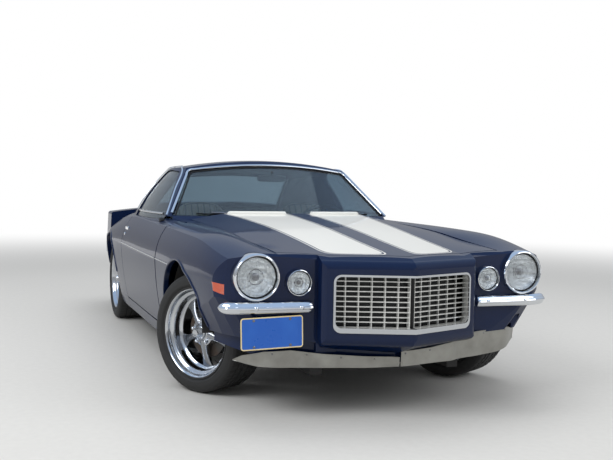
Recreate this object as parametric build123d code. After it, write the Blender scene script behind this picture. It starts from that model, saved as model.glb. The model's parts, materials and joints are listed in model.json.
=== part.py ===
from build123d import *
from math import sqrt
import os

# Early nineteen-seventies two-door fastback muscle car, millimetres.
# +X forward, +Y to the car's left, +Z up, origin on the ground below the middle of the car.

# Driving dimensions of the car
NOSE_X = 2368
TAIL_X = -2388
FRONT_AXLE_X = 1370
REAR_AXLE_X = -1316
PANEL_GAP = 8
SKIN = 22
QUARTER_WALL = 60
ROOF_WALL = 40
GLASS = 6
GLASS_INSET = 8
BELT_Z = 893
V_SLOPE = 0.374
FRONT_FACE_X = 2146

# Wheels and tyres
TYRE_R = 320
TYRE_W = 245
REAR_TYRE_W = 265
RIM_R = 243
FRONT_RIM_HALF = 112
REAR_RIM_HALF = 122
SPOKES = 5
SPOKE_PHASE = 14
FRONT_PLANE_Y = 751
REAR_PLANE_Y = 756
KINGPIN_Y = 727
STEER_DEG = 29.5
ARCH_R = 384
REAR_ARCH_R = 378
HUB_FACE = 76
STUB_R = 20
STUB_END_GAP = 0.3
RUNNING_FIT = 0.05

# Doors
DOOR_FRONT_X = 790
DOOR_REAR_X = -560
DOOR_BOTTOM_Z = 264
DOOR_INNER_Y = 755
HINGE_X = DOOR_FRONT_X - 60
HINGE_Y = 866
HINGE_ZS = (400, 760)
RAIL_Z = 197

# Hood and trunk lid
HOOD_REAR_X = 640
HOOD_CORNER_X = 500
HOOD_HINGE_X = 470
HOOD_HINGE_Z = 846
HOOD_HINGE_Y = 596
NOSE_SEAM_X = 2084
LID_FRONT_X = -1700
LID_REAR_X = -2340
LID_HALF_Y = 560
LID_HINGE_X = LID_FRONT_X + 200
LID_HINGE_Z = 815
LID_HINGE_Y = 476
PIN_R = 6

# Grille in the nose, lamps as (y, z, ring radius, glass radius, back x, front x, rise of the glass)
# and tail lamps as (y, z)
GRILLE_Z = 571
GRILLE_HALF = 364
GRILLE_HEIGHT = 276
GRILLE_RADIUS = 36
GRILLE_RIM = 10
GRILLE_SILL = 24
GRILLE_ROWS = 9
GRILLE_COLUMNS = 5
LATTICE_DEPTH = 40
HEADLAMP = (714, 693, 113, 92, 2094, 2166, 22)
PARKING_LAMP = (508, 665, 65, 52, 2094, 2170, 14)
TAIL_LAMPS = ((610, 600), (430, 600))
TAIL_LAMP_R = 64
MARKER = ((2003, 662), (2076, 655), (2076, 607), (2018, 621))
BUMPER_Z = 549
PLATE_TILT = 1.5
NOSE_HALF = 362

# Body sections from nose to tail.  Columns: x, bottom z, bottom half-width, crease half-width,
# crease z, shoulder half-width, shoulder z, crown of the fender top, hood seam half-width, seam z,
# bulge edge half-width, bulge edge z, centre z
SECTIONS = [
    (2420, 340, 760, 820, 640, 780, 748, 8, 590, 764, 355, 760, 771),
    (2200, 318, 800, 862, 640, 812, 765, 10, 600, 790, 360, 783, 798),
    (2034, 325, 830, 888, 645, 845, 784, 18, 608, 805, 366, 800, 814),
    (1676, 300, 850, 922, 650, 868, 834, 29, 616, 827, 385, 838, 850),
    (1405, 225, 860, 936, 652, 874, 845, 24, 624, 850, 400, 866, 877),
    (889, 190, 868, 943, 655, 876, 855, 14, 645, 872, 432, 908, 916),
    (271, 185, 870, 945, 655, 870, 857, 8, 680, 886, 480, 938, 946),
    (-400, 185, 870, 945, 655, 866, 862, 8, 700, 890, 490, 930, 938),
    (-1000, 190, 868, 944, 657, 858, 830, 10, 700, 880, 490, 905, 915),
    (-1400, 232, 855, 930, 658, 830, 792, 12, 685, 853, 478, 883, 896),
    (-1900, 298, 810, 874, 652, 768, 742, 15, 632, 810, 436, 850, 870),
    (-2400, 330, 745, 796, 640, 700, 706, 16, 585, 778, 400, 826, 850),
]

# Greenhouse outlines from below the belt to above the roof.  Columns: z, windshield centre x,
# windshield corner x and half-width, side middle x and half-width, rear corner x and half-width,
# rear window centre x
LEVELS = [
    (820, 660, 410, 822, -400, 866, -1660, 640, -1760),
    (895, 575, 326, 777, -400, 836, -1500, 590, -1590),
    (1060, 320, 142, 676, -400, 738, -1150, 548, -1235),
    (1225, 62, -48, 574, -400, 606, -800, 488, -868),
    (1300, -56, -134, 528, -400, 542, -640, 455, -702),
]
ROOF_TOP_Z = 1282
ROOF_TOP_X = -260
ROOF_R_Y = 3000


def box(x0, x1, y0, y1, z0, z1):
    """A box between six planes."""
    at = Pos((x0 + x1) / 2, (y0 + y1) / 2, (z0 + z1) / 2)
    return at * Box(abs(x1 - x0), abs(y1 - y0), abs(z1 - z0))


def cyl(axis, a, b, r, lo, hi):
    """A cylinder along x, y or z; a and b are its two other coordinates in alphabetical order."""
    mid = (lo + hi) / 2
    body = Cylinder(r, abs(hi - lo))
    if axis == "x":
        return Pos(mid, a, b) * Rot(0, 90, 0) * body
    if axis == "y":
        return Pos(a, mid, b) * Rot(90, 0, 0) * body
    return Pos(a, b, mid) * body


def plan(points, z0, z1):
    """A prism on a plan outline of (x, y) corners."""
    face = make_face(Polyline(*[(x, y, z0) for x, y in points], close=True))
    return extrude(face, amount=z1 - z0, dir=(0, 0, 1))


def side(points, y0, y1):
    """A prism on a side outline of (x, z) corners."""
    face = make_face(Polyline(*[(x, y0, z) for x, z in points], close=True))
    return extrude(face, amount=y1 - y0, dir=(0, 1, 0))


def front(points, x0, x1):
    """A prism on a front outline of (y, z) corners."""
    face = make_face(Polyline(*[(x0, y, z) for y, z in points], close=True))
    return extrude(face, amount=x1 - x0, dir=(1, 0, 0))


def rounded_x(y, z, width, height, radius, x0, x1):
    """A bar along x with a rounded rectangle for its section."""
    plane = Plane(origin=(x0, y, z), x_dir=(0, 1, 0), z_dir=(1, 0, 0))
    face = plane * RectangleRounded(width, height, radius)
    return extrude(face, amount=x1 - x0, dir=(1, 0, 0))


def flip(shape):
    """The same shape on the car's other side."""
    return mirror(shape, about=Plane.XZ)


def both(shape):
    """The shape and its mirror image."""
    return shape + flip(shape)


def bulged(p, q, bulge):
    """An arc in a cross plane from p to q, bulging to its right-hand side as seen from the front."""
    (x, y0, z0), (_, y1, z1) = p, q
    run = sqrt((y1 - y0) ** 2 + (z1 - z0) ** 2)
    mid = (x, (y0 + y1) / 2 + bulge * (z1 - z0) / run, (z0 + z1) / 2 - bulge * (y1 - y0) / run)
    return ThreePointArc(p, mid, q)


def body_loft(inset):
    """The lower body from nose to tail as one smooth solid, all round smaller by inset."""
    faces = []
    for x, zb, yb, yc, zc, ys, zs, crown, yh, zh, yt, zt, z0 in SECTIONS:
        half = [(yb - inset, zb + inset), (yc - inset, zc), (ys - inset, zs - inset / 2),
                (yh, zh - inset), (yt, zt - inset)]
        p = [(x, y, z) for y, z in half]
        m = [(x, -y, z) for y, z in half]
        edges = [Line(m[0], p[0]), bulged(p[0], p[1], 14), bulged(p[1], p[2], 16),
                 bulged(p[2], p[3], crown), bulged(p[3], p[4], 3),
                 ThreePointArc(p[4], (x, 0, z0 - inset), m[4]), bulged(m[4], m[3], 3),
                 bulged(m[3], m[2], crown), bulged(m[2], m[1], 16), bulged(m[1], m[0], 14)]
        faces.append(make_face(edges))
    return loft(faces)


def plan_trim(inset):
    """What the nose corners and the bowed tail leave of the body in plan."""
    x, y = FRONT_FACE_X - inset, 1000
    tail, turn = TAIL_X + inset, TAIL_X + 70 + inset
    edges = [Line((x, -400), (x, 400)), Line((x, 400), (x - 16, 745)),
             ThreePointArc((x - 16, 745), (x - 58, 838), (x - 186, 905 - inset)),
             Line((x - 186, 905 - inset), (x - 260, y)), Line((x - 260, y), (turn + 60, y)),
             Line((turn + 60, y), (turn, 700)), ThreePointArc((turn, 700), (tail, 0), (turn, -700)),
             Line((turn, -700), (turn + 60, -y)), Line((turn + 60, -y), (x - 260, -y)),
             Line((x - 260, -y), (x - 186, inset - 905)),
             ThreePointArc((x - 186, inset - 905), (x - 58, -838), (x - 16, -745)),
             Line((x - 16, -745), (x, -400))]
    return extrude(make_face(edges), amount=1100, dir=(0, 0, 1))


def side_trim(inset):
    """What the rounded top edge over the lamps and the tail's rake leave of the body in side view."""
    x = 2150 - inset
    t = TAIL_X - 6 + inset
    edges = [Line((x, -999, 100), (x, -999, 752)),
             ThreePointArc((x, -999, 752), (x - 18, -999, 793 - inset * 0.7), (x - 62, -999, 815 - inset)),
             Line((x - 62, -999, 815 - inset), (x - 500, -999, 1000)),
             Line((x - 500, -999, 1000), (t + 60, -999, 1000)),
             Line((t + 60, -999, 1000), (t, -999, 700)), Line((t, -999, 700), (t + 90, -999, 100)),
             Line((t + 90, -999, 100), (x, -999, 100))]
    return extrude(make_face(edges), amount=1998, dir=(0, 1, 0))


def nose_plan(inset):
    """Half of the nose block's plan outline: the V, its rounded corner and the side, as edges."""
    tip = NOSE_X - inset
    y, side_y = NOSE_HALF - inset / 2, NOSE_HALF + 50 - inset
    corner_x = tip - V_SLOPE * y
    return [Line((tip - 10, 26), (corner_x, y)),
            ThreePointArc((corner_x, y), (corner_x - 13, side_y - 18), (corner_x - 33, side_y)),
            Line((corner_x - 33, side_y), (2000, 440 - inset))]


def nose_trim(inset):
    """The V-shaped nose block ahead of the lamps, rounded along its top, bottom and corners."""
    tip = NOSE_X - inset
    half = nose_plan(inset)
    rounding = ThreePointArc((tip - 10, -26), (tip - 4, 0), (tip - 10, 26))
    back = Line((2000, 440 - inset), (2000, inset - 440))
    other = [edge.mirror(Plane.XZ) for edge in half]
    block = extrude(make_face([rounding, back] + half + other), amount=1100, dir=(0, 0, 1))
    block &= rounded_x(0, 720 + inset, 2 * (NOSE_HALF + 49 - inset), 800, 85 - inset, 1990, 2500)
    low, top = 415 + inset / 2, 734 - inset
    edges = [Line((tip, 0, low), (tip, 0, top)),
             ThreePointArc((tip, 0, top), (tip - 10, 0, top + 25), (tip - 34, 0, top + 40)),
             Line((tip - 34, 0, top + 40), (1900, 0, 1000)), Line((1900, 0, 1000), (1900, 0, 200)),
             Line((1900, 0, 200), (tip - 150, 0, 322 + inset)),
             Line((tip - 150, 0, 322 + inset), (tip - 36, 0, low - 50)),
             ThreePointArc((tip - 36, 0, low - 50), (tip - 9, 0, low - 31), (tip, 0, low))]
    profile = make_face(edges)
    length = 600 * sqrt(1 + V_SLOPE ** 2)
    halves = [extrude(profile, amount=length, dir=(-V_SLOPE, way, 0)) for way in (1, -1)]
    return block & (halves[0] + halves[1])


def hull(inset):
    """What the rounder foot of the front corners leaves of the body: a ruled skin between a plan
    outline at the valance's foot and a fuller one below the lamps."""
    foot = [(2152, 330), (2118, 560), (2062, 670), (1978, 720), (1888, 768), (1700, 838), (1500, 885)]
    full = [(2152, 801), (2131, 828), (2099, 870), (2043, 910), (1966, 934), (1726, 965), (1500, 977)]
    faces = []
    for z, outline in ((300, foot), (640, full)):
        points = [(x - inset, y - inset, z) for x, y in outline]
        points[-1] = (1500, outline[-1][1] - inset, z)
        loop = points + [(x, -y, z) for x, y, _ in reversed(points)]
        faces.append(make_face(Polyline(*loop, close=True)))
    skin = loft(faces) + extrude(faces[0], amount=200, dir=(0, 0, -1))
    return skin + box(1500, 2500, -1000, 1000, 640, 1100) + box(-3000, 1500, -1000, 1000, 0, 1100)


def valance_cut(inset):
    """What is missing below the left half of the valance, beside the nose block."""
    y = NOSE_HALF + 52 - inset
    outline = [(y, 100), (y, 372 + inset), (459, 388 + inset), (640, 394 + inset), (1000, 394 + inset),
               (1000, 100)]
    return front(outline, 1560, FRONT_FACE_X + 4)


def body_solid(inset):
    """The lower body, trimmed at nose, tail and front corners, all round smaller by inset."""
    body = body_loft(inset) & ((plan_trim(inset) & side_trim(inset) & hull(inset)) + nose_trim(inset))
    return body - both(valance_cut(inset))


def greenhouse(inset):
    """The cabin above the belt as one solid, its walls moved inwards by inset."""
    faces = []
    for z, xf, xc, yc, xm, ym, xr, yr, xb in LEVELS:
        xf, xc, yc = xf - 1.9 * inset, xc - 1.6 * inset, yc - 1.2 * inset
        ym, xr, yr, xb = ym - 1.2 * inset, xr + 2.2 * inset, yr - 1.2 * inset, xb + 2.3 * inset
        c, m, r = (xc, yc, z), (xm, ym, z), (xr, yr, z)
        c2, m2, r2 = (xc, -yc, z), (xm, -ym, z), (xr, -yr, z)
        faces.append(make_face([ThreePointArc(c2, (xf, 0, z), c), ThreePointArc(c, m, r),
                                ThreePointArc(r, (xb, 0, z), r2), ThreePointArc(r2, m2, c2)]))
    top = ROOF_TOP_Z - inset
    profile = make_face([ThreePointArc((ROOF_TOP_X - 1800, 0, top - 483), (ROOF_TOP_X, 0, top),
                                       (ROOF_TOP_X + 1800, 0, top - 483)),
                         Line((ROOF_TOP_X + 1800, 0, top - 483), (ROOF_TOP_X + 1800, 0, top - 700)),
                         Line((ROOF_TOP_X + 1800, 0, top - 700), (ROOF_TOP_X - 1800, 0, top - 700)),
                         Line((ROOF_TOP_X - 1800, 0, top - 700), (ROOF_TOP_X - 1800, 0, top - 483))])
    axis = Axis((0, 0, top - ROOF_R_Y), (1, 0, 0))
    crown = revolve(profile.rotate(axis, -30), axis, 60)
    return loft(faces) & crown


def hood_side_y(x):
    """Half-width of the hood at x."""
    return 602 + (2110 - x) * 62 / 1610


def hood_prism(gap):
    """The hood's plan, drawn in by gap all round."""
    g = gap
    rear = HOOD_CORNER_X + g
    edges = [ThreePointArc((rear, 664 - g), (HOOD_REAR_X + g, 0), (rear, g - 664))]
    for s in (1, -1):
        bend, corner = (2125 - g, s * 360), (2080 - g, s * (603 - g))
        edges += [Line((2262 - g, 0), bend), Line(bend, corner), Line(corner, (rear, s * (664 - g)))]
    return Pos(0, 0, 650) * extrude(make_face(edges), amount=400, dir=(0, 0, 1))


def lid_prism(gap):
    """The trunk lid's plan, drawn in by gap all round."""
    g = gap
    return plan([(LID_FRONT_X - g, g - LID_HALF_Y), (LID_FRONT_X - g, LID_HALF_Y - g),
                 (LID_REAR_X + g, LID_HALF_Y - 40 - g), (LID_REAR_X + g, g + 40 - LID_HALF_Y)], 640, 1000)


def door_prism(gap):
    """The left door's side outline, drawn in by gap, from its inner face outwards."""
    g = gap
    return side([(DOOR_FRONT_X - g, DOOR_BOTTOM_Z + g), (DOOR_FRONT_X - g, BELT_Z),
                 (DOOR_REAR_X + g, BELT_Z), (DOOR_REAR_X + g, DOOR_BOTTOM_Z + g)], DOOR_INNER_Y, 1000)


def door_sweep():
    """The space that the left door's front edge sweeps round its hinge line, with running room."""
    reach = DOOR_FRONT_X - HINGE_X
    rim = []
    for z, skin_y in ((250, 893), (420, 926), (560, 944), (655, 950), (720, 942), (800, 914), (BELT_Z, 850)):
        out = max(skin_y - HINGE_Y, 0)
        rim.append((sqrt(reach ** 2 + out ** 2) + 5.5, 0, z))
    loop = [(0, 0, 250)] + rim + [(0, 0, BELT_Z)]
    return Pos(HINGE_X, HINGE_Y, 0) * revolve(make_face(Polyline(*loop, close=True)), Axis.Z)


def window_outline(gap):
    """The side window's outline in side view, drawn in by gap."""
    g = gap
    return side([(268 - g, 868), (262 - g, 905), (-92 - g, 1192 - g), (-280, 1203 - g), (-430, 1198 - g),
                 (-505 + g, 1172 - g), (-552 + g, 1100), (-560 + g, 868)], 400, 1000)


def windshield_prism():
    """The windshield's opening in front view: straight pillars, round upper corners, bowed top."""
    x, foot, knee, brow = -100, (752, 903), (590, 1168), (530, 1204)
    edges = [Line((x, -foot[0], foot[1]), (x, *foot)), Line((x, *foot), (x, *knee)),
             ThreePointArc((x, *knee), (x, 573, 1192), (x, *brow)),
             ThreePointArc((x, *brow), (x, 0, 1242), (x, -brow[0], brow[1])),
             ThreePointArc((x, -brow[0], brow[1]), (x, -573, 1192), (x, -knee[0], knee[1])),
             Line((x, -knee[0], knee[1]), (x, -foot[0], foot[1]))]
    return extrude(make_face(edges), amount=900, dir=(1, 0, 0))


def rear_window_prism():
    """The rear window's opening in plan."""
    return plan([(-905, -452), (-905, 452), (-1452, 540), (-1490, 0), (-1452, -540)], 862, 1300)


def pane(opening):
    """Glass sunk in an opening, parallel to the cabin's surface."""
    return PANE_SHELL & opening


def spoiler():
    """The ducktail across the rear deck, standing on the body."""
    edges = [ThreePointArc((-2110, -860, 860), (-2230, -860, 862), (-2326, -860, 886)),
             Line((-2326, -860, 886), (-2333, -860, 877)), Line((-2333, -860, 877), (-2318, -860, 640)),
             Line((-2318, -860, 640), (-2110, -860, 640)), Line((-2110, -860, 640), (-2110, -860, 860))]
    wedge = extrude(make_face(edges), amount=1720, dir=(0, 1, 0))
    x = -2400
    edges = [Line((x, -816, 640), (x, 816, 640)), Line((x, 816, 640), (x, 808, 808)),
             ThreePointArc((x, 808, 808), (x, 801, 827), (x, 782, 834)),
             ThreePointArc((x, 782, 834), (x, 0, 888), (x, -782, 834)),
             ThreePointArc((x, -782, 834), (x, -801, 827), (x, -808, 808)),
             Line((x, -808, 808), (x, -816, 640))]
    return (wedge & extrude(make_face(edges), amount=400, dir=(1, 0, 0))) - OUTER


OUTER = body_solid(0)
INNER = body_solid(SKIN)
THICK = body_solid(QUARTER_WALL)
SKINS = OUTER - INNER
CABIN = greenhouse(0)
SPOILER = spoiler()
PANE_SHELL = greenhouse(GLASS_INSET) - greenhouse(GLASS_INSET + GLASS)
PARTS = {}


def make_door():
    """The left door: whole thickness, a slot for each hinge leaf and a hole for each pin."""
    door = OUTER & door_prism(PANEL_GAP / 2)
    for z in HINGE_ZS:
        door -= hinge_room(z)
        door -= cyl("z", HINGE_X, HINGE_Y, 8 + RUNNING_FIT, z - 30, z + 30)
    return door


def make_hood():
    """The hood skin with a hinge ear under each rear corner."""
    x, y, z = HOOD_HINGE_X, HOOD_HINGE_Y, HOOD_HINGE_Z
    ear = side([(x - 10, z - 6), (x + 8, z - 12), (x + 100, z + 16), (x + 100, z + 30), (x + 44, z + 30),
                (x - 6, z + 9)], y - 7, y + 7) + cyl("y", x, z, 13, y - 7, y + 7)
    ear -= cyl("y", x, z, PIN_R + RUNNING_FIT, y - 20, y + 20)
    return (SKINS & hood_prism(PANEL_GAP / 2)) + both(ear)


def hood_pin():
    """The left hood hinge's pin on its bracket, standing on the cowl."""
    x, y, z = HOOD_HINGE_X, HOOD_HINGE_Y, HOOD_HINGE_Z
    return cyl("y", x, z, PIN_R, y - 8, y + 18) + box(x - 8, x + 8, y + 9, y + 18, 825, z + 8)


def make_lid():
    """The trunk lid with the middle of the ducktail and a swan-neck hinge arm each side."""
    x, z = LID_HINGE_X, LID_HINGE_Z
    neck = [(0, 0), (0, -110), (-150, -185), (-310, -100), (-310, 34)]
    arm = neck_arm([(x + a, z + b) for a, b in neck])
    lid = (SKINS & lid_prism(PANEL_GAP / 2)) - box(LID_FRONT_X - 8, LID_FRONT_X, -600, 600, 600, 1000)
    lid -= box(LID_REAR_X - 5, LID_REAR_X + 40, -600, 600, 600, 758)
    lid += SPOILER & lid_prism(PANEL_GAP / 2)
    return lid + both(arm)


def neck_arm(points):
    """A bent flat bar through (x, z) points, with an eye for the hinge pin at the first one."""
    y = LID_HINGE_Y
    arm = cyl("y", *points[0], 13, y - 6, y + 6)
    for (x0, z0), (x1, z1) in zip(points, points[1:]):
        run = sqrt((x1 - x0) ** 2 + (z1 - z0) ** 2)
        a, b = 7.5 * (z1 - z0) / run, -7.5 * (x1 - x0) / run
        arm += side([(x0 + a, z0 + b), (x1 + a, z1 + b), (x1 - a, z1 - b), (x0 - a, z0 - b)], y - 6, y + 6)
        arm += cyl("y", x1, z1, 7.5, y - 6, y + 6)
    return arm - cyl("y", *points[0], PIN_R + RUNNING_FIT, y - 20, y + 20)


def lid_pin():
    """The left lid hinge's pin on its bracket, hung from the deck."""
    x, y, z = LID_HINGE_X, LID_HINGE_Y, LID_HINGE_Z
    return cyl("y", x, z, PIN_R, y - 10, y + 17) + (OUTER & box(x - 9, x + 9, y + 8, y + 17, z - 9, 1000))


def hinge_room(z):
    """The slot in the left door's front edge that a hinge leaf swings in."""
    slot = box(HINGE_X - 18, DOOR_FRONT_X + 5, HINGE_Y - 150, HINGE_Y + 12, z - 7, z + 7)
    return slot + box(HINGE_X - 5, DOOR_FRONT_X + 5, HINGE_Y + 11, HINGE_Y + 20, z - 7, z + 7)


def hinge_leaf(z):
    """A fixed hinge leaf with its pin, from the hinge post to the left door's hinge line."""
    low, high = z - 6.5, z + 6.5
    outline = [(HINGE_X - 7, HINGE_Y - 9), (HINGE_X + 7, HINGE_Y + 9), (HINGE_X + 14, HINGE_Y),
               (DOOR_FRONT_X + 20, 768), (DOOR_FRONT_X + 20, 738), (HINGE_X + 2, HINGE_Y - 14)]
    pin = cyl("z", HINGE_X, HINGE_Y, 8, z - 29, z + 29)
    return plan(outline, low, high) + pin + cyl("z", HINGE_X, HINGE_Y, 13, low, high)


def make_fender():
    """The left front fender with its tail beside the hood and its wheel opening."""
    back = DOOR_FRONT_X + PANEL_GAP / 2
    outline = plan([(back, 1000), (NOSE_SEAM_X, 1000), (NOSE_SEAM_X, hood_side_y(NOSE_SEAM_X) + 4),
                    (HOOD_CORNER_X, hood_side_y(HOOD_CORNER_X) + 4), (380, 676),
                    (380, DOOR_INNER_Y - PANEL_GAP), (back, DOOR_INNER_Y - PANEL_GAP)], 100, 1000)
    fender = SKINS & outline
    fender -= cyl("y", FRONT_AXLE_X, TYRE_R, ARCH_R, 480, 1000)
    fender -= box(300, FRONT_AXLE_X, 300, 800, 100, 300)
    fender -= box(FRONT_AXLE_X, NOSE_SEAM_X, 300, 700, 100, 420)
    fender -= side([(1560, 100), (1560, 655), (1640, 630), (1700, 598), (1745, 570), (1772, 540),
                    (1782, 500), (1786, 455), (1790, 410), (1800, 345), (1800, 100)], 600, 1000)
    fender -= cyl("z", HINGE_X, HINGE_Y, 130, 780, 900) & box(600, DOOR_FRONT_X, 700, 750, 780, 900)
    return fender - door_sweep() - CABIN - marker_box()


def marker_box():
    """Where the left side marker lamp sits."""
    return side(MARKER, 700, 1000)


def make_side_frame():
    """Left sill, lock pillar, kick panel, hinge post and hinge leaves."""
    sill = OUTER & box(DOOR_REAR_X, DOOR_FRONT_X - 4, 700, 1000, 100, DOOR_BOTTOM_Z - 4)
    lock = OUTER & box(DOOR_REAR_X - 50, DOOR_REAR_X - 4, 700, 1000, 100, BELT_Z)
    kick = box(345, DOOR_FRONT_X + 40, 690, 735, DOOR_BOTTOM_Z - 20, 850)
    post = INNER & box(DOOR_FRONT_X + 9, DOOR_FRONT_X + 80, 690, 1000, 200, 846)
    frame = sill + lock + kick + post - door_sweep()
    kick_low = box(700, DOOR_FRONT_X + 40, 690, 735, 200, 300)
    for z in HINGE_ZS:
        frame += hinge_leaf(z)
    return frame + kick_low


def make_wheelhouse():
    """The left rear wheelhouse: an arched liner closed on its inner side."""
    centre = (REAR_AXLE_X, TYRE_R)
    liner = cyl("y", *centre, REAR_ARCH_R + 12, 548, 905) - cyl("y", *centre, REAR_ARCH_R, 560, 906)
    liner -= box(REAR_AXLE_X - 70, REAR_AXLE_X + 70, 500, 600, 200, TYRE_R + 140)
    return (liner & box(-1800, -800, 500, 950, 300, 800)) & INNER


def make_body_shell():
    """Roof, pillars, quarters, sills, cowl and firewall."""
    cabin = CABIN - greenhouse(ROOF_WALL)
    for way in (0, 1):
        hole = window_outline(0)
        cabin -= flip(hole) if way else hole
    cabin = cabin - windshield_prism() - rear_window_prism()
    y = HOOD_HINGE_Y
    cabin -= both(box(HOOD_HINGE_X - 28, HOOD_REAR_X, y - 13, y + 13, 831, BELT_Z + 7))
    strip = box(DOOR_REAR_X - 6, 900, DOOR_INNER_Y - 8, 1000, 780, BELT_Z + 5)
    cabin = cabin - strip - flip(strip) - box(-1800, -600, -1000, 1000, 780, 860)
    rear = (OUTER - THICK) & box(-2500, DOOR_REAR_X - 4, -1000, 1000, 100, 1000)
    rear = rear - box(-2270, DOOR_REAR_X + 5, -548, 548, 100, 420) - box(-1000, -500, -700, 700, 100, 400)
    rear -= box(-1150, -500, -700, 700, 700, 1000)
    rear = rear - lid_prism(-PANEL_GAP / 2) - greenhouse(ROOF_WALL)
    rear -= INNER & box(LID_FRONT_X - 10, LID_HINGE_X + 30, -547, 547, 640, 1000)
    for way in (0, 1):
        arch = cyl("y", REAR_AXLE_X, TYRE_R, REAR_ARCH_R, 560, 1000)
        house = make_wheelhouse()
        rear -= flip(arch) if way else arch
        rear += flip(house) if way else house
    cowl = box(345, DOOR_FRONT_X + 80, -690, 690, 806, 830) & INNER
    firewall = box(DOOR_FRONT_X + 56, DOOR_FRONT_X + 80, -690, 690, 232, 830)
    firewall -= box(DOOR_FRONT_X, DOOR_FRONT_X + 100, -140, 140, 200, 480)
    frame = make_side_frame()
    fins = (SPOILER & box(-2400, -2000, 400, 900, 600, 1000)) - lid_prism(-PANEL_GAP / 2)
    frame = frame + hood_pin() + lid_pin() + fins
    return cabin + rear + cowl + firewall + frame + flip(frame)


def make_floor():
    """Cabin floor with its tunnel, kick-up over the axle and trunk floor."""
    t = 14
    front_half = box(-850, DOOR_FRONT_X + 56, -690, 690, 232, 232 + t)
    front_half -= box(-851, DOOR_FRONT_X + 60, -140, 140, 200, 260)
    tunnel = side([(-850, 232), (-850, 420), (100, 420), (250, 480), (DOOR_FRONT_X + 56, 480),
                   (DOOR_FRONT_X + 56, 232)], -140, 140)
    tunnel -= side([(-860, 200), (-860, 408), (102, 408), (252, 468), (DOOR_FRONT_X + 60, 468),
                    (DOOR_FRONT_X + 60, 200)], -128, 128)
    rear = side([(-850, 232), (-850, 246), (-1040, 464), (-1660, 464), (-1770, 346), (-2270, 346),
                 (-2270, 332), (-1764, 332), (-1654, 450), (-1046, 450), (-862, 232)], -548, 548)
    rear -= side([(-830, 190), (-1020, 408), (-830, 408)], -128, 128)
    return front_half + tunnel + rear


def v_band(front_x, back_x, half):
    """A wall that follows the nose's V from one depth to another, measured at the tip."""
    drop = V_SLOPE * half
    return plan([(front_x - drop, -half), (front_x, 0), (front_x - drop, half),
                 (back_x - drop, half), (back_x, 0), (back_x - drop, -half)], 300, 900)


def make_grille():
    """Bright frame in the nose opening with a V-shaped lattice of fine bars, deep inside it."""
    inner_w = 2 * (GRILLE_HALF - GRILLE_RIM)
    inner_h = GRILLE_HEIGHT - GRILLE_RIM - GRILLE_SILL
    inner_z = GRILLE_Z + (GRILLE_SILL - GRILLE_RIM) / 2
    band = v_band(NOSE_X + 7, NOSE_X - LATTICE_DEPTH - 22, 420)
    frame = band & rounded_x(0, GRILLE_Z, 2 * GRILLE_HALF, GRILLE_HEIGHT, GRILLE_RADIUS, 2000, 2500)
    frame -= rounded_x(0, inner_z, inner_w, inner_h, GRILLE_RADIUS - GRILLE_RIM, 1990, 2510)
    window = rounded_x(0, inner_z, inner_w + 6, inner_h + 6, GRILLE_RADIUS - GRILLE_RIM + 3, 1990, 2510)
    front_x = NOSE_X - LATTICE_DEPTH
    rows = v_band(front_x, front_x - 18, 420)
    pitch = inner_h / (GRILLE_ROWS + 1)
    bars = [rows & box(2000, 2500, -420, 420, z - 2, z + 2)
            for z in [inner_z - inner_h / 2 + pitch * (i + 1) for i in range(GRILLE_ROWS)]]
    posts = v_band(front_x - 2, front_x - 20, 420)
    step = inner_w / 2 / (GRILLE_COLUMNS + 1)
    for i in range(1, GRILLE_COLUMNS + 1):
        for y in (i * step, -i * step):
            bars.append(posts & box(2000, 2500, y - 1.5, y + 1.5, 300, 900))
    bars.append(v_band(front_x + 6, front_x - 22, 420) & box(2000, 2500, -13, 13, 300, 900))
    lattice = (Compound(bars[:GRILLE_ROWS]).fuse(*bars[GRILLE_ROWS:])) & window
    return frame + lattice


def lamp_ring(y, z, outer, inner, back, face, _):
    """A lamp's bright ring with its rounded front edge."""
    ring = cyl("x", y, z, outer, back, face)
    ring = fillet(ring.edges().group_by(Axis.X)[-1], 8)
    return ring - cyl("x", y, z, inner, back - 1, face + 1)


def lamp_lens(y, z, _, inner, back, face, dome):
    """A lamp's domed glass, seated in its ring."""
    rise = face - 16
    profile = make_face([Line((rise - 20, 0, z), (rise + dome, 0, z)),
                         ThreePointArc((rise + dome, 0, z), (rise + dome * 0.75, 0, z + inner / 2),
                                       (rise, 0, z + inner)),
                         Line((rise, 0, z + inner), (rise - 20, 0, z + inner)),
                         Line((rise - 20, 0, z + inner), (rise - 20, 0, z))])
    return Pos(0, y, 0) * revolve(profile, Axis((0, 0, z), (1, 0, 0)), 360)


def make_nose():
    """Nose panel: lamp surrounds, nose block with the grille opening, and valance."""
    nose = SKINS & box(NOSE_SEAM_X, 2500, -1000, 1000, 200, 1000)
    nose -= hood_prism(-PANEL_GAP / 2)
    nose -= rounded_x(0, GRILLE_Z, 2 * GRILLE_HALF, GRILLE_HEIGHT, GRILLE_RADIUS, 2170, 2500)
    nose -= box(2000, 2120, -740, 740, 300, 470)
    for y, z, outer, *_ in (HEADLAMP, PARKING_LAMP):
        hole = cyl("x", y, z, outer, 2070, 2300)
        nose = nose - hole - flip(hole)
    return nose


def make_front_bumpers():
    """A slim bright bar each side, wrapping from the grille to the wheel opening."""
    z = BUMPER_Z
    straight = Line((2168, 434, z), (2160, 750, z))
    wrap = TangentArc((2160, 750, z), (2092, 884, z), tangent=straight % 1)
    face = Plane(origin=(2168, 434, z), x_dir=(0, 0, 1), z_dir=straight % 0) * RectangleRounded(58, 36, 15)
    bar = sweep(face, path=straight + wrap)
    arms = box(2090, 2150, 480, 520, z - 14, z + 14) + box(2090, 2150, 700, 740, z - 14, z + 14)
    return both((bar + arms) - OUTER)


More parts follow.
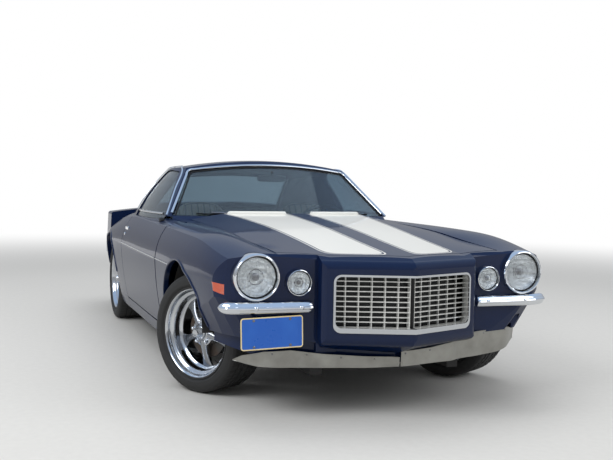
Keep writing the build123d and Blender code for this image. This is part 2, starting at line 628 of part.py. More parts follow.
def chin_plan(way):
    """The chin's two faces and its end in plan, from the middle to one side, as edges."""
    outer = [(2222, 0, 240), (2150, way * 420, 240), (2078, way * 655, 240), (1962, way * 786, 240)]
    inner = [(2215, 0, 240), (2143, way * 418, 240), (2071, way * 650, 240), (1957, way * 781, 240)]
    ends = ((0, way), (-1, way * 0.7))
    return [Spline(*outer, tangents=ends), Line(outer[-1], inner[-1]), Spline(*inner, tangents=ends)]


def make_chin():
    """Chin spoiler of thin sheet in two lengths, wrapping round under the valance on two brackets."""
    blade = extrude(make_face(chin_plan(1) + chin_plan(-1)), amount=200, dir=(0, 0, 1))
    left = [(-3, 249), (-3, 328), (163, 338), (285, 359), (364, 387), (451, 398), (640, 402),
            (800, 402), (800, 290), (615, 276), (457, 269), (165, 259)]
    right = [(-5, 249), (-5, 300), (-214, 311), (-382, 322), (-535, 340), (-652, 331), (-737, 303),
             (-779, 275), (-730, 264), (-680, 256), (-348, 253)]
    brackets = box(2190, 2210, -160, -140, 285, 345) + box(2086, 2110, -570, -550, 290, 410)
    sheet = blade & (front(left, 1900, 2300) + front(right, 1900, 2300))
    return sheet + brackets - OUTER


def make_plate():
    """Blank front plate, a little aslant, on its two hangers below the right bumper."""
    y, z = -640, 433
    plate = Pos(0, y, z) * Rot(PLATE_TILT, 0, 0) * rounded_x(0, 0, 305, 152, 8, 2164, 2167)
    hangers = box(2080, 2164.5, y - 95, y - 75, 470, 490) + box(2080, 2164.5, y + 75, y + 95, 470, 490)
    return plate + (hangers - OUTER)


def make_tyre(half, width):
    """Tyre about the y axis, centred on its middle plane."""
    w = width / 2
    rim = [(half - 7, 232), (half - 7, 247), (w - 2, 268), (w, 282), (w - 5, 303), (w - 22, TYRE_R)]
    points = rim + [(-y, r) for y, r in reversed(rim)]
    return revolve(make_face(Polyline(*[(r, y, 0) for y, r in points], close=True)), Axis.Y, 360)


def make_wheel(half):
    """Five-spoke wheel about the y axis, its face towards +y, with its brake disc."""
    h = half
    mount = h - 112
    rim = [(h, RIM_R), (h - 7, RIM_R), (h - 7, 232), (h - 30, 232), (h - 44, 214), (44 - h, 214),
           (30 - h, 232), (7 - h, 232), (7 - h, RIM_R), (-h, RIM_R), (-h, 234), (12 - h, 227), (30 - h, 224),
           (46 - h, 206),
           (h - 104, 206), (h - 102, 190), (h - 88, 188), (h - 84, 192), (h - 78, 203), (h - 40, 206),
           (h - 33, 212), (h - 30, 224), (h - 10, 229), (h, 236)]
    wheel = revolve(make_face(Polyline(*[(r, y, 0) for y, r in rim], close=True)), Axis.Y, 360)
    hub = [(0, h - 4), (17, h - 4), (21, h - 9), (33, h - 36), (37, h - 50), (70, h - 56), (76, h - 64),
           (76, h - 100), (140, h - 100), (140, mount), (0, mount)]
    wheel += revolve(make_face(Polyline(*[(r, y, 0) for r, y in hub], close=True)), Axis.Y, 360)
    for i in range(SPOKES):
        wheel += Rot(0, 360 / SPOKES * i + SPOKE_PHASE, 0) * spoke(h)
    return wheel - cyl("y", 0, 0, STUB_R + RUNNING_FIT, mount - 1, h - HUB_FACE)


def spoke(h):
    """One spoke along +x, waisted in the middle, wide and set back where it meets the rim."""
    stations = [(52, 25, h - 50, h - 96), (112, 19, h - 62, h - 94), (196, 44, h - 86, h - 99)]
    faces = []
    for x, w, out, back in stations:
        faces.append(make_face(Polyline((x, back, -w), (x, back, w), (x, out - 12, w), (x, out, w - 9),
                                        (x, out, 9 - w), (x, out - 12, -w), close=True)))
    return loft(faces)


def corner(shape, x, y, steer=0, pivot=0):
    """Places a wheel-like shape whose face points to +y at the left, mirrored at the right."""
    way = 1 if y > 0 else -1
    turned = Pos(x, pivot, 0) * Rot(0, 0, way * steer) * Pos(0, abs(y) - pivot, TYRE_R) * shape
    return turned if y > 0 else flip(turned)


def make_knuckle():
    """Left knuckle in its own frame: kingpin on the z axis, wheel centre at z = 0."""
    off = FRONT_PLANE_Y - KINGPIN_Y
    post = box(-24, 24, -15, 13, -95, 97)
    post += cyl("z", 0, 0, 10, -120, 119)
    post += cyl("y", 0, 0, STUB_R, 0, off + FRONT_RIM_HALF - HUB_FACE - STUB_END_GAP)
    return post + cyl("y", 0, 0, 40, 12, off - 4)


def placed_knuckle(way):
    """A knuckle turned to the steering's rest angle; the right one is a mirrored left one."""
    knuckle = Pos(FRONT_AXLE_X, KINGPIN_Y, TYRE_R) * Rot(0, 0, way * STEER_DEG) * make_knuckle()
    return knuckle if way > 0 else flip(knuckle)


def make_subframe():
    """Front rails, crossmember, upper towers and both pairs of control arms."""
    x, z = FRONT_AXLE_X, TYRE_R
    rail = box(1060, 2050, 345, 405, RAIL_Z, 300) + box(880, 1060, 345, 405, RAIL_Z + 18, 300)
    tower = box(x - 60, x + 60, 370, 432, 290, z + 122)
    low = plan([(x - 120, 400), (x + 120, 400), (x + 24, KINGPIN_Y), (x - 24, KINGPIN_Y)], z - 120, z - 98)
    low += cyl("z", x, KINGPIN_Y, 24, z - 120, z - 98)
    high = plan([(x - 58, 425), (x + 58, 425), (x + 22, KINGPIN_Y), (x - 22, KINGPIN_Y)], z + 99, z + 119)
    high += cyl("z", x, KINGPIN_Y, 24, z + 99, z + 119)
    arms = low + high - cyl("z", x, KINGPIN_Y, 10 + RUNNING_FIT, z - 130, z + 130)
    return both(rail + tower + arms) + box(x - 70, x + 70, -350, 350, 240, 280)


def make_support():
    """Radiator support bulkhead behind the nose, with the radiator's opening."""
    plate = INNER & box(2020, 2050, -1000, 1000, 300, 800)
    plate = plate - hood_prism(-PANEL_GAP / 2) - box(2010, 2060, -330, 330, 400, 740)
    return plate - box(2010, 2060, -340, 340, 760, 800) - box(2010, 2050.5, -405, 405, 200, 300)


def make_radiator():
    """The radiator core in the support's opening."""
    return box(2024, 2046, -330, 330, 400, 740)


def make_engine():
    """The engine as one plain block with its V of heads and its air cleaner."""
    block = front([(-160, 280), (160, 280), (185, 420), (300, 560), (250, 660), (120, 690), (-120, 690),
                   (-250, 660), (-300, 560), (-185, 420)], 990, 1560)
    return block + cyl("z", 1270, 0, 150, 689, 760)


def make_driveline():
    """Gearbox and propeller shaft."""
    faces = []
    for x, half, top in ((990, 115, 450), (420, 70, 400)):
        loop = [(x, -half, 290), (x, half, 290), (x, half, top), (x, -half, top)]
        faces.append(make_face(Polyline(*loop, close=True)))
    return loft(faces) + cyl("x", 0, 335, 36, -1186, 421)


def make_rear_axle():
    """Live axle: tubes, differential, backing plates, stubs and spring pads."""
    x, z = REAR_AXLE_X, TYRE_R
    back = REAR_PLANE_Y + REAR_RIM_HALF - 112
    tube = cyl("y", x, z, 38, -back + 14, back - 14)
    pot = Pos(x, 0, z) * Sphere(128)
    nose = cyl("x", 0, 335, 55, -1300, -1186)
    ends = cyl("y", x, z, 118, back - 22, back - 12)
    ends += cyl("y", x, z, STUB_R, back - 20, back + 36 - STUB_END_GAP)
    ends += box(x - 60, x + 60, 470, 540, z - 44, z)
    return tube + pot + nose + both(ends)


def make_springs():
    """A leaf spring each side between its front eye bracket and rear shackle."""
    z = TYRE_R - 44
    edges = [ThreePointArc((-905, 475, 268), (REAR_AXLE_X, 475, z), (-1960, 475, 292)),
             Line((-1960, 475, 292), (-1960, 475, 276)),
             ThreePointArc((-1960, 475, 276), (REAR_AXLE_X, 475, z - 20), (-905, 475, 252)),
             Line((-905, 475, 252), (-905, 475, 268))]
    spring = extrude(make_face(edges), amount=60, dir=(0, 1, 0))
    hangers = box(-930, -890, 475, 535, 240, 330) + box(-1975, -1945, 485, 525, 270, 360)
    room = box(-2100, -800, 400, 560, 346, 500) + side([(-850, 246), (-1040, 464), (-850, 464)], 400, 600)
    return both((spring + hangers) - PARTS["floor_pan"] - room - PARTS["rear_axle"])


def make_exhaust():
    """Twin pipes with mufflers, from the engine's sides to the tail."""
    path = Polyline((1180, 235, 480), (1120, 306, 330), (1010, 400, 182), (-2360, 400, 182))
    pipe = sweep(Plane(origin=path @ 0, z_dir=path % 0) * Circle(27), path=path, transition=Transition.RIGHT)
    can = fillet(box(-760, -260, 310, 490, 132, 224).edges().filter_by(Axis.X), 38)
    pipe = pipe + can - cyl("x", 400, 182, 24, -2400, -2280)
    return both(pipe - PARTS["engine_block"] - PARTS["front_subframe"])


def make_tank():
    """The fuel tank below the trunk floor."""
    return fillet(box(-2240, -1790, -330, 330, 200, 332).edges().filter_by(Axis.Z), 60)


def make_front_seats():
    """Two bucket seats, each a soft cushion and a raked back, on rails."""
    cushion = Pos(0, 400, 365) * Rot(0, -6, 0) * fillet(Box(470, 500, 130).edges(), 34)
    back = Pos(-300, 400, 660) * Rot(0, -22, 0) * fillet(Box(110, 480, 640).edges(), 34)
    rails = box(-180, 180, 230, 262, 246, 312) + box(-180, 180, 538, 570, 246, 312)
    return both(cushion + back + rails)


def make_rear_seat():
    """The rear bench, its cushion and back in one, over the tunnel."""
    outline = [(-620, 246), (-620, 420), (-660, 440), (-980, 410), (-1090, 838), (-1146, 838), (-1146, 780),
               (-1045, 484), (-1045, 470), (-856, 256), (-846, 246)]
    return side(outline, -545, 545) - box(-1200, -600, -141, 141, 200, 421)


def make_dash():
    """Dashboard across the cabin below the windshield."""
    outline = [(560, 790), (342, 800), (322, 832), (200, 820), (186, 780), (210, 640), (300, 600),
               (340, 640), (560, 700)]
    return side(outline, -690, 690)


def make_steering_wheel():
    """Steering wheel on its column, left of the middle."""
    at = Pos(60, 380, 800) * Rot(0, -66, 0)
    wheel = Torus(180, 13) + Cylinder(36, 30)
    for turn in (0, 120, 240):
        wheel += Rot(0, 0, turn) * Pos(90, 0, 0) * Box(180, 26, 7)
    return at * (wheel + Pos(0, 0, -130) * Cylinder(22, 260)) - PARTS["dashboard"]


def make_rear_bumper():
    """Bright bar across the tail, wrapping to the quarters."""
    z, back = 470, TAIL_X + 200
    mid, turn = (TAIL_X + 62, 738), (TAIL_X + 92, 808)
    edges = [ThreePointArc((mid[0], -mid[1], z), (TAIL_X - 24, 0, z), (*mid, z)),
             ThreePointArc((*mid, z), (*turn, z), (back, 832, z)),
             Line((back, 832, z), (back, -832, z)),
             ThreePointArc((back, -832, z), (turn[0], -turn[1], z), (mid[0], -mid[1], z))]
    return extrude(make_face(edges), amount=84, dir=(0, 0, 1)) - OUTER


def tail_lamp(y, z):
    """Where a round tail lamp goes through the tail panel."""
    return cyl("x", y, z, TAIL_LAMP_R, TAIL_X - 20, TAIL_X + 130)


PARTS["door_left"] = make_door()
PARTS["fender_left"] = make_fender()
PARTS["fender_right"] = flip(PARTS["fender_left"])
PARTS["hood"] = make_hood()
PARTS["trunk_lid"] = make_lid()
lamps = both(tail_lamp(*TAIL_LAMPS[0]) + tail_lamp(*TAIL_LAMPS[1]))
PARTS["body_shell"] = make_body_shell() - lamps
PARTS["tail_lamps"] = lamps & (OUTER - body_solid(12))
PARTS["floor_pan"] = make_floor()
PARTS["windshield"] = pane(windshield_prism())
PARTS["rear_window"] = pane(rear_window_prism())
PARTS["door_glass_left"] = pane(window_outline(6)) - PARTS["door_left"]
PARTS["door_right"] = flip(PARTS["door_left"])
PARTS["door_glass_right"] = flip(PARTS["door_glass_left"])
PARTS["nose_panel"] = make_nose()
PARTS["grille"] = make_grille()
PARTS["lamp_rings"] = both(lamp_ring(*HEADLAMP) + lamp_ring(*PARKING_LAMP))
PARTS["lamp_lenses"] = both(lamp_lens(*HEADLAMP) + lamp_lens(*PARKING_LAMP))
PARTS["side_markers"] = both((OUTER - body_solid(10)) & marker_box())
PARTS["front_bumpers"] = make_front_bumpers()
PARTS["rear_bumper"] = make_rear_bumper()
PARTS["chin_spoiler"] = make_chin()
PARTS["front_plate"] = make_plate()
PARTS["front_subframe"] = make_subframe()
PARTS["radiator_support"] = make_support()
PARTS["radiator"] = make_radiator()
PARTS["engine_block"] = make_engine()
PARTS["driveline"] = make_driveline()
PARTS["rear_axle"] = make_rear_axle()
PARTS["leaf_springs"] = make_springs()
PARTS["exhaust"] = make_exhaust()
PARTS["fuel_tank"] = make_tank()
PARTS["front_seats"] = make_front_seats()
PARTS["rear_seat"] = make_rear_seat()
PARTS["dashboard"] = make_dash()
PARTS["steering_wheel"] = make_steering_wheel()
PARTS["knuckle_left"] = placed_knuckle(1)
PARTS["knuckle_right"] = placed_knuckle(-1)
front_wheel, front_tyre = make_wheel(FRONT_RIM_HALF), make_tyre(FRONT_RIM_HALF, TYRE_W)
rear_wheel, rear_tyre = make_wheel(REAR_RIM_HALF), make_tyre(REAR_RIM_HALF, REAR_TYRE_W)
for side_name, way in (("left", 1), ("right", -1)):
    at = (FRONT_AXLE_X, way * FRONT_PLANE_Y, STEER_DEG, KINGPIN_Y)
    PARTS[f"wheel_front_{side_name}"] = corner(front_wheel, *at)
    PARTS[f"tyre_front_{side_name}"] = corner(front_tyre, *at)
    PARTS[f"wheel_rear_{side_name}"] = corner(rear_wheel, REAR_AXLE_X, way * REAR_PLANE_Y)
    PARTS[f"tyre_rear_{side_name}"] = corner(rear_tyre, REAR_AXLE_X, way * REAR_PLANE_Y)

os.makedirs("parts", exist_ok=True)
for name, shape in PARTS.items():
    export_step(shape, f"parts/{name}.step")
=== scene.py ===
"""Early nineteen-seventies fastback muscle car, dressed for the photograph's view.

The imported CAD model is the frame; this script gives it its finishes and adds trim, lamps, tyres,
seats and small fittings.  Metres, +X forward, +Y to the car's left, +Z up.
"""

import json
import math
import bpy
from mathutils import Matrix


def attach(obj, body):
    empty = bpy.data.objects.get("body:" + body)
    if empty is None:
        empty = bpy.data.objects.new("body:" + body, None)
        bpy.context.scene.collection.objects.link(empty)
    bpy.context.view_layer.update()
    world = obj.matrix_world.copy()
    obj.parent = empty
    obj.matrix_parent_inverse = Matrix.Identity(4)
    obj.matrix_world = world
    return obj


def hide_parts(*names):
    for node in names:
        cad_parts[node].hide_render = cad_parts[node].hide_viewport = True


bl_info = {
    "name": "Muscle car dressing",
    "version": (1, 0, 0),
    "blender": (4, 5, 0),
    "location": "View3D > Sidebar > Muscle car",
    "description": "Finishes, wheels, lamps, trim and seats for a striped fastback coupe",
    "category": "Object",
}

import bmesh
import bpy
import numpy as np
from mathutils import Matrix, Vector
from mathutils.bvhtree import BVHTree

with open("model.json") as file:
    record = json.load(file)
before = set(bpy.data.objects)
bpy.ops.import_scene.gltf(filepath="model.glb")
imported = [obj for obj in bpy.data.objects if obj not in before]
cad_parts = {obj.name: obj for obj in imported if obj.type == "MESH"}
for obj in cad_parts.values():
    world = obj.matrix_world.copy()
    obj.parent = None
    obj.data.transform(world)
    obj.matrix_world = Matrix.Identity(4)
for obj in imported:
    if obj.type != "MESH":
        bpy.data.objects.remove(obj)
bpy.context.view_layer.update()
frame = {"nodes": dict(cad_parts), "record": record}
NODES = frame["nodes"]

# Driving places of the car, in metres
NOSE_X = 2.368
V_SLOPE = 0.374
TYRE_R = 0.320
FRONT_AXLE_X = 1.370
REAR_AXLE_X = -1.316
FRONT_PLANE_Y = 0.751
REAR_PLANE_Y = 0.756
KINGPIN_Y = 0.727
STEER = math.radians(29.5)
SPOKES = 5
SPOKE_PHASE = math.radians(14)
SIDES = {"left": 1, "right": -1}

# Each end's axle, middle plane of the wheel, pivot, steering angle, half rim width and half tyre width
WHEELS = {
    "front": (FRONT_AXLE_X, FRONT_PLANE_Y, KINGPIN_Y, STEER, 0.112, 0.1225),
    "rear": (REAR_AXLE_X, REAR_PLANE_Y, REAR_PLANE_Y, 0.0, 0.122, 0.1325),
}

# Lamps on the nose: y, z, the ring's outer radius and the x of its face; and the shares of that
# radius that the ring's hole and the glass have
HEADLAMP = (0.714, 0.693, 0.113, 2.166)
PARKING_LAMP = (0.508, 0.665, 0.065, 2.170)
RING_HOLE = 0.872
GLASS_SHARE = 0.826
BUMPER_Z = 0.549
TAIL_LAMPS = ((0.610, 0.600), (0.430, 0.600))
TAIL_LAMP_R = 0.064
ARCH_R = 0.384
REAR_ARCH_R = 0.378

SEAT_Y = 0.400
SHEET_T = 0.003
CHIN_LEAN = 0.10
PLATE_WIDTH = 0.305
PLATE_HEIGHT = 0.152
PLATE_CORNER = 0.014

# Where rays start that find the CAD's surfaces: past the glass and roof, beside the doors and
# fenders, above the hood, and behind the tail
FAR = 1.6
BESIDE = 1.3
ABOVE_HOOD = 1.5
BEHIND = -3.0

# Strip sections, as shares of half the width and of the rise: height at the edge, place and height
# of the shoulder, and half-width of the flat crest
ROUND_STRIP = (0.40, 0.75, 0.85, 0.30)
FLAT_STRIP = (0.35, 0.80, 0.75, 0.35)

# Grille: how deep the frame's chrome face reaches, and half the width of the black post
GRILLE_FACE_DEPTH = 0.003
GRILLE_POST_HALF = 0.0105

# Stripes in plan: edges, how the outer one widens, the slanted front end and the corners' blends
STRIPE_INNER_Y = 0.078
STRIPE_OUTER_Y = 0.343
STRIPE_SPREAD = 0.046
STRIPE_FRONT_X = 2.13
STRIPE_WIDEST_Y = 0.452
STRIPE_NOSE_X = 2.240
STRIPE_NOSE_LEAN = 0.4246
STRIPE_SIDE_BLEND = 0.010
STRIPE_CORNER_BLEND = 0.13

# The photograph's camera, solved from the lamps, wheels, grille and roof
CAMERA_AT = Vector((6.1941, -1.9255, 1.1490))
CAMERA_YAW = math.radians(160.251)
CAMERA_PITCH = math.radians(3.141)
CAMERA_ROLL = math.radians(1.029)
CAMERA_LENS_MM = 53.59
SENSOR_MM = 36.0

# Soft lamps: name, place, size and watts; and the point that they face
LIGHTS = (("key", (4.0, -7.0, 6.5), (6.0, 4.0), 420.0),
          ("fill", (6.5, 5.0, 5.0), (5.0, 4.0), 160.0),
          ("top", (-1.0, 0.0, 8.0), (8.0, 5.0), 260.0))
LIGHTS_AIM = Vector((0.4, 0.0, 0.5))

# The sky's strength on dull surfaces, its strengths low and high up in mirrors, and its blue there
SKY_DIFFUSE = 0.5
SKY_MIRRORED = (0.35, 1.0)
SKY_BLUE = "#b4cdee"
FLOOR_FADE = (5.0, 13.0)


def linear(colour):
    """An sRGB hex colour such as "#17204a" as linear RGBA."""
    value = np.array([int(colour[i:i + 2], 16) for i in (1, 3, 5)]) / 255
    value = np.where(value <= 0.04045, value / 12.92, ((value + 0.055) / 1.055) ** 2.4)
    return (*value.tolist(), 1.0)


class CarSettings(bpy.types.PropertyGroup):
    """Sizes and colours that a user of the car would change"""

    paint: bpy.props.FloatVectorProperty(
        name="Body colour", description="Enamel of the body panels", subtype="COLOR", size=4,
        min=0.0, max=1.0, default=linear("#031536"))
    stripe: bpy.props.FloatVectorProperty(
        name="Stripe colour", description="Stripes on the hood and the trunk lid", subtype="COLOR",
        size=4, min=0.0, max=1.0, default=linear("#e6e7e3"))
    pinstripe_off: bpy.props.FloatProperty(
        name="Pinstripe distance", description="From a stripe's edge to its pinstripe's middle",
        default=0.011, min=0.004, max=0.05, unit="LENGTH")
    pinstripe_half: bpy.props.FloatProperty(
        name="Pinstripe half-width", description="Half the width of the thin line round a stripe",
        default=0.0032, min=0.001, max=0.01, unit="LENGTH")
    groove_depth: bpy.props.FloatProperty(
        name="Tread depth", description="Depth of the grooves round the tyres", default=0.007,
        min=0.001, max=0.012, unit="LENGTH")
    trim_width: bpy.props.FloatProperty(
        name="Window trim width", description="Bright moulding round the windshield", default=0.017,
        min=0.006, max=0.03, unit="LENGTH")
    pleat_pitch: bpy.props.FloatProperty(
        name="Pleat pitch", description="From one sewn channel of a seat to the next",
        default=0.046, min=0.02, max=0.1, unit="LENGTH")
    pleat_depth: bpy.props.FloatProperty(
        name="Pleat depth", description="How deep the seats' sewn channels are", default=0.007,
        min=0.0, max=0.02, unit="LENGTH")
    seat_cloth: bpy.props.FloatVectorProperty(
        name="Seat colour", description="Woven cloth of the seats", subtype="COLOR", size=4,
        min=0.0, max=1.0, default=linear("#c4b492"))
    light: bpy.props.FloatProperty(
        name="Light level", description="Strength of the soft lamps", default=1.0, min=0.1, max=4.0,
        subtype="FACTOR")


def settings():
    """The car's settings in the scene."""
    return bpy.context.scene.muscle_car


def surface(points, wrap_u=False, wrap_v=False, caps=False):
    """Quads over a (rows, columns, 3) grid of points.  A wrapped direction closes on itself; caps
    close a tube with one face over its first row and one over its last."""
    rows, columns = points.shape[:2]
    i, j = np.meshgrid(np.arange(rows - (not wrap_u)), np.arange(columns - (not wrap_v)), indexing="ij")
    i_next, j_next = (i + 1) % rows, (j + 1) % columns
    quads = np.stack([i * columns + j, i_next * columns + j, i_next * columns + j_next,
                      i * columns + j_next], -1)
    faces = quads.reshape(-1, 4).tolist()
    if caps:
        faces += [list(range(columns)), list(range((rows - 1) * columns, rows * columns))]
    return points.reshape(-1, 3), faces


def join(*shapes):
    """Several shapes as one."""
    points, faces, start = [], [], 0
    for some_points, some_faces in shapes:
        points.append(some_points)
        faces += [[corner + start for corner in face] for face in some_faces]
        start += len(some_points)
    return np.concatenate(points), faces


def mirrored(shape):
    """The shape on the car's other side: y changes sign and each face runs the other way."""
    return shape[0] * (1, -1, 1), [face[::-1] for face in shape[1]]


def pair(shape):
    """The shape and its mirror image."""
    return join(shape, mirrored(shape))


def moved(shape, by, flip=(1, 1, 1)):
    """The shape, turned over along each axis where flip is -1, then moved."""
    return shape[0] * flip + by, shape[1]


def turned(shape, axis, degrees, centre=(0, 0, 0), move=(0, 0, 0)):
    """The shape turned round an axis through centre, then moved."""
    matrix = np.array(Matrix.Rotation(math.radians(degrees), 3, axis))
    return (shape[0] - centre) @ matrix.T + centre + move, shape[1]


def spline(points, count, closed=False):
    """A smooth curve through the points: cubic Hermite pieces, whose slopes are differences over
    the chord lengths, read off at even steps of the curve's own length."""
    p = np.asarray(points, float)
    whole = len(p)
    if closed:
        p = np.concatenate([p[-2:], p, p[:3]])
    t = np.concatenate([[0], np.cumsum(np.linalg.norm(np.diff(p, axis=0), axis=1))])
    slope = np.gradient(p, t, axis=0)
    start, end = (t[2], t[2 + whole]) if closed else (0.0, t[-1])
    s = np.linspace(start, end, 24 * whole)
    k = np.clip(np.searchsorted(t, s, side="right") - 1, 0, len(t) - 2)
    h = (t[k + 1] - t[k])[:, None]
    u = (s - t[k])[:, None] / h
    fine = ((1 + 2 * u) * (1 - u) ** 2 * p[k] + u * (1 - u) ** 2 * h * slope[k]
            + u * u * (3 - 2 * u) * p[k + 1] + u * u * (u - 1) * h * slope[k + 1])
    run = np.concatenate([[0], np.cumsum(np.linalg.norm(np.diff(fine, axis=0), axis=1))])
    even = np.linspace(0, run[-1], count, endpoint=not closed)
    return np.stack([np.interp(even, run, column) for column in fine.T], 1)


def along(path, profile, up=(0, 0, 1), closed=False, scale=1.0):
    """A profile of (across, rise) points carried along a path.  Across is square to the path and to
    up, rise square to both; scale, one number or one per station, sizes the profile."""
    ahead = np.roll(path, -1, 0) - np.roll(path, 1, 0) if closed else np.gradient(path, axis=0)
    across = np.cross(ahead, up)
    across /= np.linalg.norm(across, axis=1, keepdims=True)
    rise = np.cross(across, ahead)
    rise /= np.linalg.norm(rise, axis=1, keepdims=True)
    size = np.broadcast_to(np.asarray(scale, float), (len(path),))[:, None, None]
    flat = np.asarray(profile, float)[None]
    points = path[:, None] + size * (flat[..., :1] * across[:, None] + flat[..., 1:] * rise[:, None])
    return surface(points, wrap_u=closed, wrap_v=True, caps=not closed)


def lathe(profile, count, axis, centre=(0, 0, 0)):
    """A profile of (radius, along) points turned round an axis through centre.  It ends on the axis
    where its first and last radius are nothing, and closes on itself otherwise."""
    radius, run = np.asarray(profile, float).T
    turn = np.arange(count)[:, None] * 2 * np.pi / count
    ring = np.stack([np.broadcast_to(run, (count, len(run))), radius * np.cos(turn),
                     radius * np.sin(turn)], -1)
    order = {"x": (0, 1, 2), "y": (2, 0, 1), "z": (1, 2, 0)}[axis]
    ends_on_axis = radius[0] == 0 and radius[-1] == 0
    return surface(ring[..., order] + np.asarray(centre), wrap_u=True, wrap_v=not ends_on_axis)


def circle(radius, count=16):
    """Points at even steps round a circle."""
    turn = np.arange(count) * 2 * np.pi / count
    return radius * np.stack([np.cos(turn), np.sin(turn)], 1)


def crowned(half, rise, foot=-0.003, shares=ROUND_STRIP):
    """A low crowned strip's section as (across, rise) points; its foot goes a little below the
    surface."""
    edge, shoulder_at, shoulder, crest = shares
    right = [(crest * half, rise), (shoulder_at * half, shoulder * rise), (half, edge * rise), (half, foot)]
    return [(-across, up) for across, up in reversed(right)] + right


def rounded(width, height, radius, count=6):
    """A rectangle as a loop of points, each corner a quarter circle of count points."""
    angle = np.linspace(0, np.pi / 2, count)
    loops = []
    for k, (a, b) in enumerate(((1, 1), (-1, 1), (-1, -1), (1, -1))):
        turn = angle + k * np.pi / 2
        middle = (a * (width / 2 - radius), b * (height / 2 - radius))
        loops.append(np.stack([np.cos(turn), np.sin(turn)], 1) * radius + middle)
    return np.concatenate(loops)


def stack(loops):
    """A closed solid through loops of equally many points, first to last."""
    return surface(np.stack(loops), wrap_v=True, caps=True)


def bar_x(x0, x1, y, z, width, height, radius=0.004):
    """A bar along x with a rounded rectangle for its section."""
    loop = rounded(width, height, radius) + (y, z)
    return stack([np.column_stack([np.full(len(loop), x), loop]) for x in (x0, x1)])


def egg(size, power, count=(28, 40)):
    """A superellipsoid: a sphere whose cosines and sines are raised to a power below one, so that
    it fills its box like a stuffed cushion with crowned faces and round corners."""
    def bent(value):
        return np.sign(value) * np.abs(value) ** power
    lat = np.linspace(-np.pi / 2, np.pi / 2, count[0])[:, None]
    lon = (np.arange(count[1]) * 2 * np.pi / count[1])[None]
    points = np.stack([bent(np.cos(lat)) * bent(np.cos(lon)), bent(np.cos(lat)) * bent(np.sin(lon)),
                       bent(np.sin(lat)) * np.ones_like(lon)], -1)
    return surface(points * np.asarray(size) / 2, wrap_v=True)


TREES = {}


def landed(names, flat, axis, far):
    """Where rays along an axis, 0 for x, first meet the named CAD nodes, and the normals there,
    turned against the rays and evened out along the row.  Flat holds each ray's places on the two
    other axes; far is its start on this one, beyond the car on the side that it comes from."""
    if names not in TREES:
        whole = bmesh.new()
        for name in names.split():
            whole.from_mesh(NODES[name].data)
        TREES[names] = BVHTree.FromBMesh(whole)
        whole.free()
    starts = np.insert(np.asarray(flat, float), axis, far, axis=1).tolist()
    way = Vector((0, 0, 0))
    way[axis] = -math.copysign(1, far)
    hits = [TREES[names].ray_cast(Vector(start), way)[:2] for start in starts]
    missed = [start for start, hit in zip(starts, hits) if hit[0] is None]
    if missed:
        raise RuntimeError(f"rays miss {names} from {missed[:3]}")
    places = np.array([tuple(place) for place, _ in hits])
    normals = np.array([tuple(normal if normal.dot(way) < 0 else -normal) for _, normal in hits])
    for _ in range(3):
        near = np.concatenate([normals[:1], normals, normals[-1:]])
        normals = near[:-2] + near[1:-1] + near[2:]
        normals /= np.linalg.norm(normals, axis=1, keepdims=True)
    return places, normals


def laid(names, flat, axis, far, section, lift=0.0, **how):
    """A strip on CAD nodes: its section carried along the row of points where the rays land, lifted
    along the normals there."""
    places, normals = landed(names, flat, axis, far)
    return along(places + normals * lift, section, up=normals, **how)


def piece(name, shape, finish_name, body="car_body", slot=None, stands_for=None, sharp=32.0):
    """One object from a shape: doubles merged, normals outwards, edges above sharp degrees kept.
    It rides on body, takes the finish that finish_name names, and replaces the CAD node that it stands for.
    Slot is not used."""
    mesh = bpy.data.meshes.new(name)
    mesh.from_pydata(shape[0].tolist(), [], shape[1])
    work = bmesh.new()
    work.from_mesh(mesh)
    bmesh.ops.remove_doubles(work, verts=work.verts, dist=2e-6)
    bmesh.ops.recalc_face_normals(work, faces=work.faces)
    work.to_mesh(mesh)
    work.free()
    mesh.shade_smooth()
    mesh.set_sharp_from_angle(angle=math.radians(sharp))
    mesh.materials.append(bpy.data.materials[finish_name])
    made = bpy.data.objects.new(name, mesh)
    bpy.context.scene.collection.objects.link(made)
    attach(made, body)
    if stands_for:
        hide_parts(stands_for)
    return made


def add(tree, kind, given=(), **inputs):
    """Adds a shader node.  Given holds its attributes; an input, i0 for the first, takes a value, a
    hex colour, a socket, or a node, whose first output in use is then linked."""
    made = tree.nodes.new("ShaderNode" + kind)
    for name, value in dict(given).items():
        setattr(made, name, value)
    for name, value in inputs.items():
        numbered = name[0] == "i" and name[1:].isdigit()
        socket = made.inputs[int(name[1:]) if numbered else name.replace("_", " ")]
        if isinstance(value, bpy.types.Node):
            value = next(output for output in value.outputs if output.enabled)
        if isinstance(value, bpy.types.NodeSocket):
            tree.links.new(value, socket)
        else:
            socket.default_value = linear(value) if isinstance(value, str) else value
    return made


def finish(name, build, **sockets):
    """A material: build(tree) returns Principled inputs that its nodes make; sockets are plain ones."""
    made = bpy.data.materials.new(name)
    made.use_nodes = True
    tree = made.node_tree
    tree.nodes.clear()
    shader = add(tree, "BsdfPrincipled", **sockets, **build(tree))
    add(tree, "OutputMaterial", Surface=shader)
    return made


def here(tree):
    """Object coordinates of the piece, in metres."""
    return add(tree, "TexCoord").outputs["Object"]


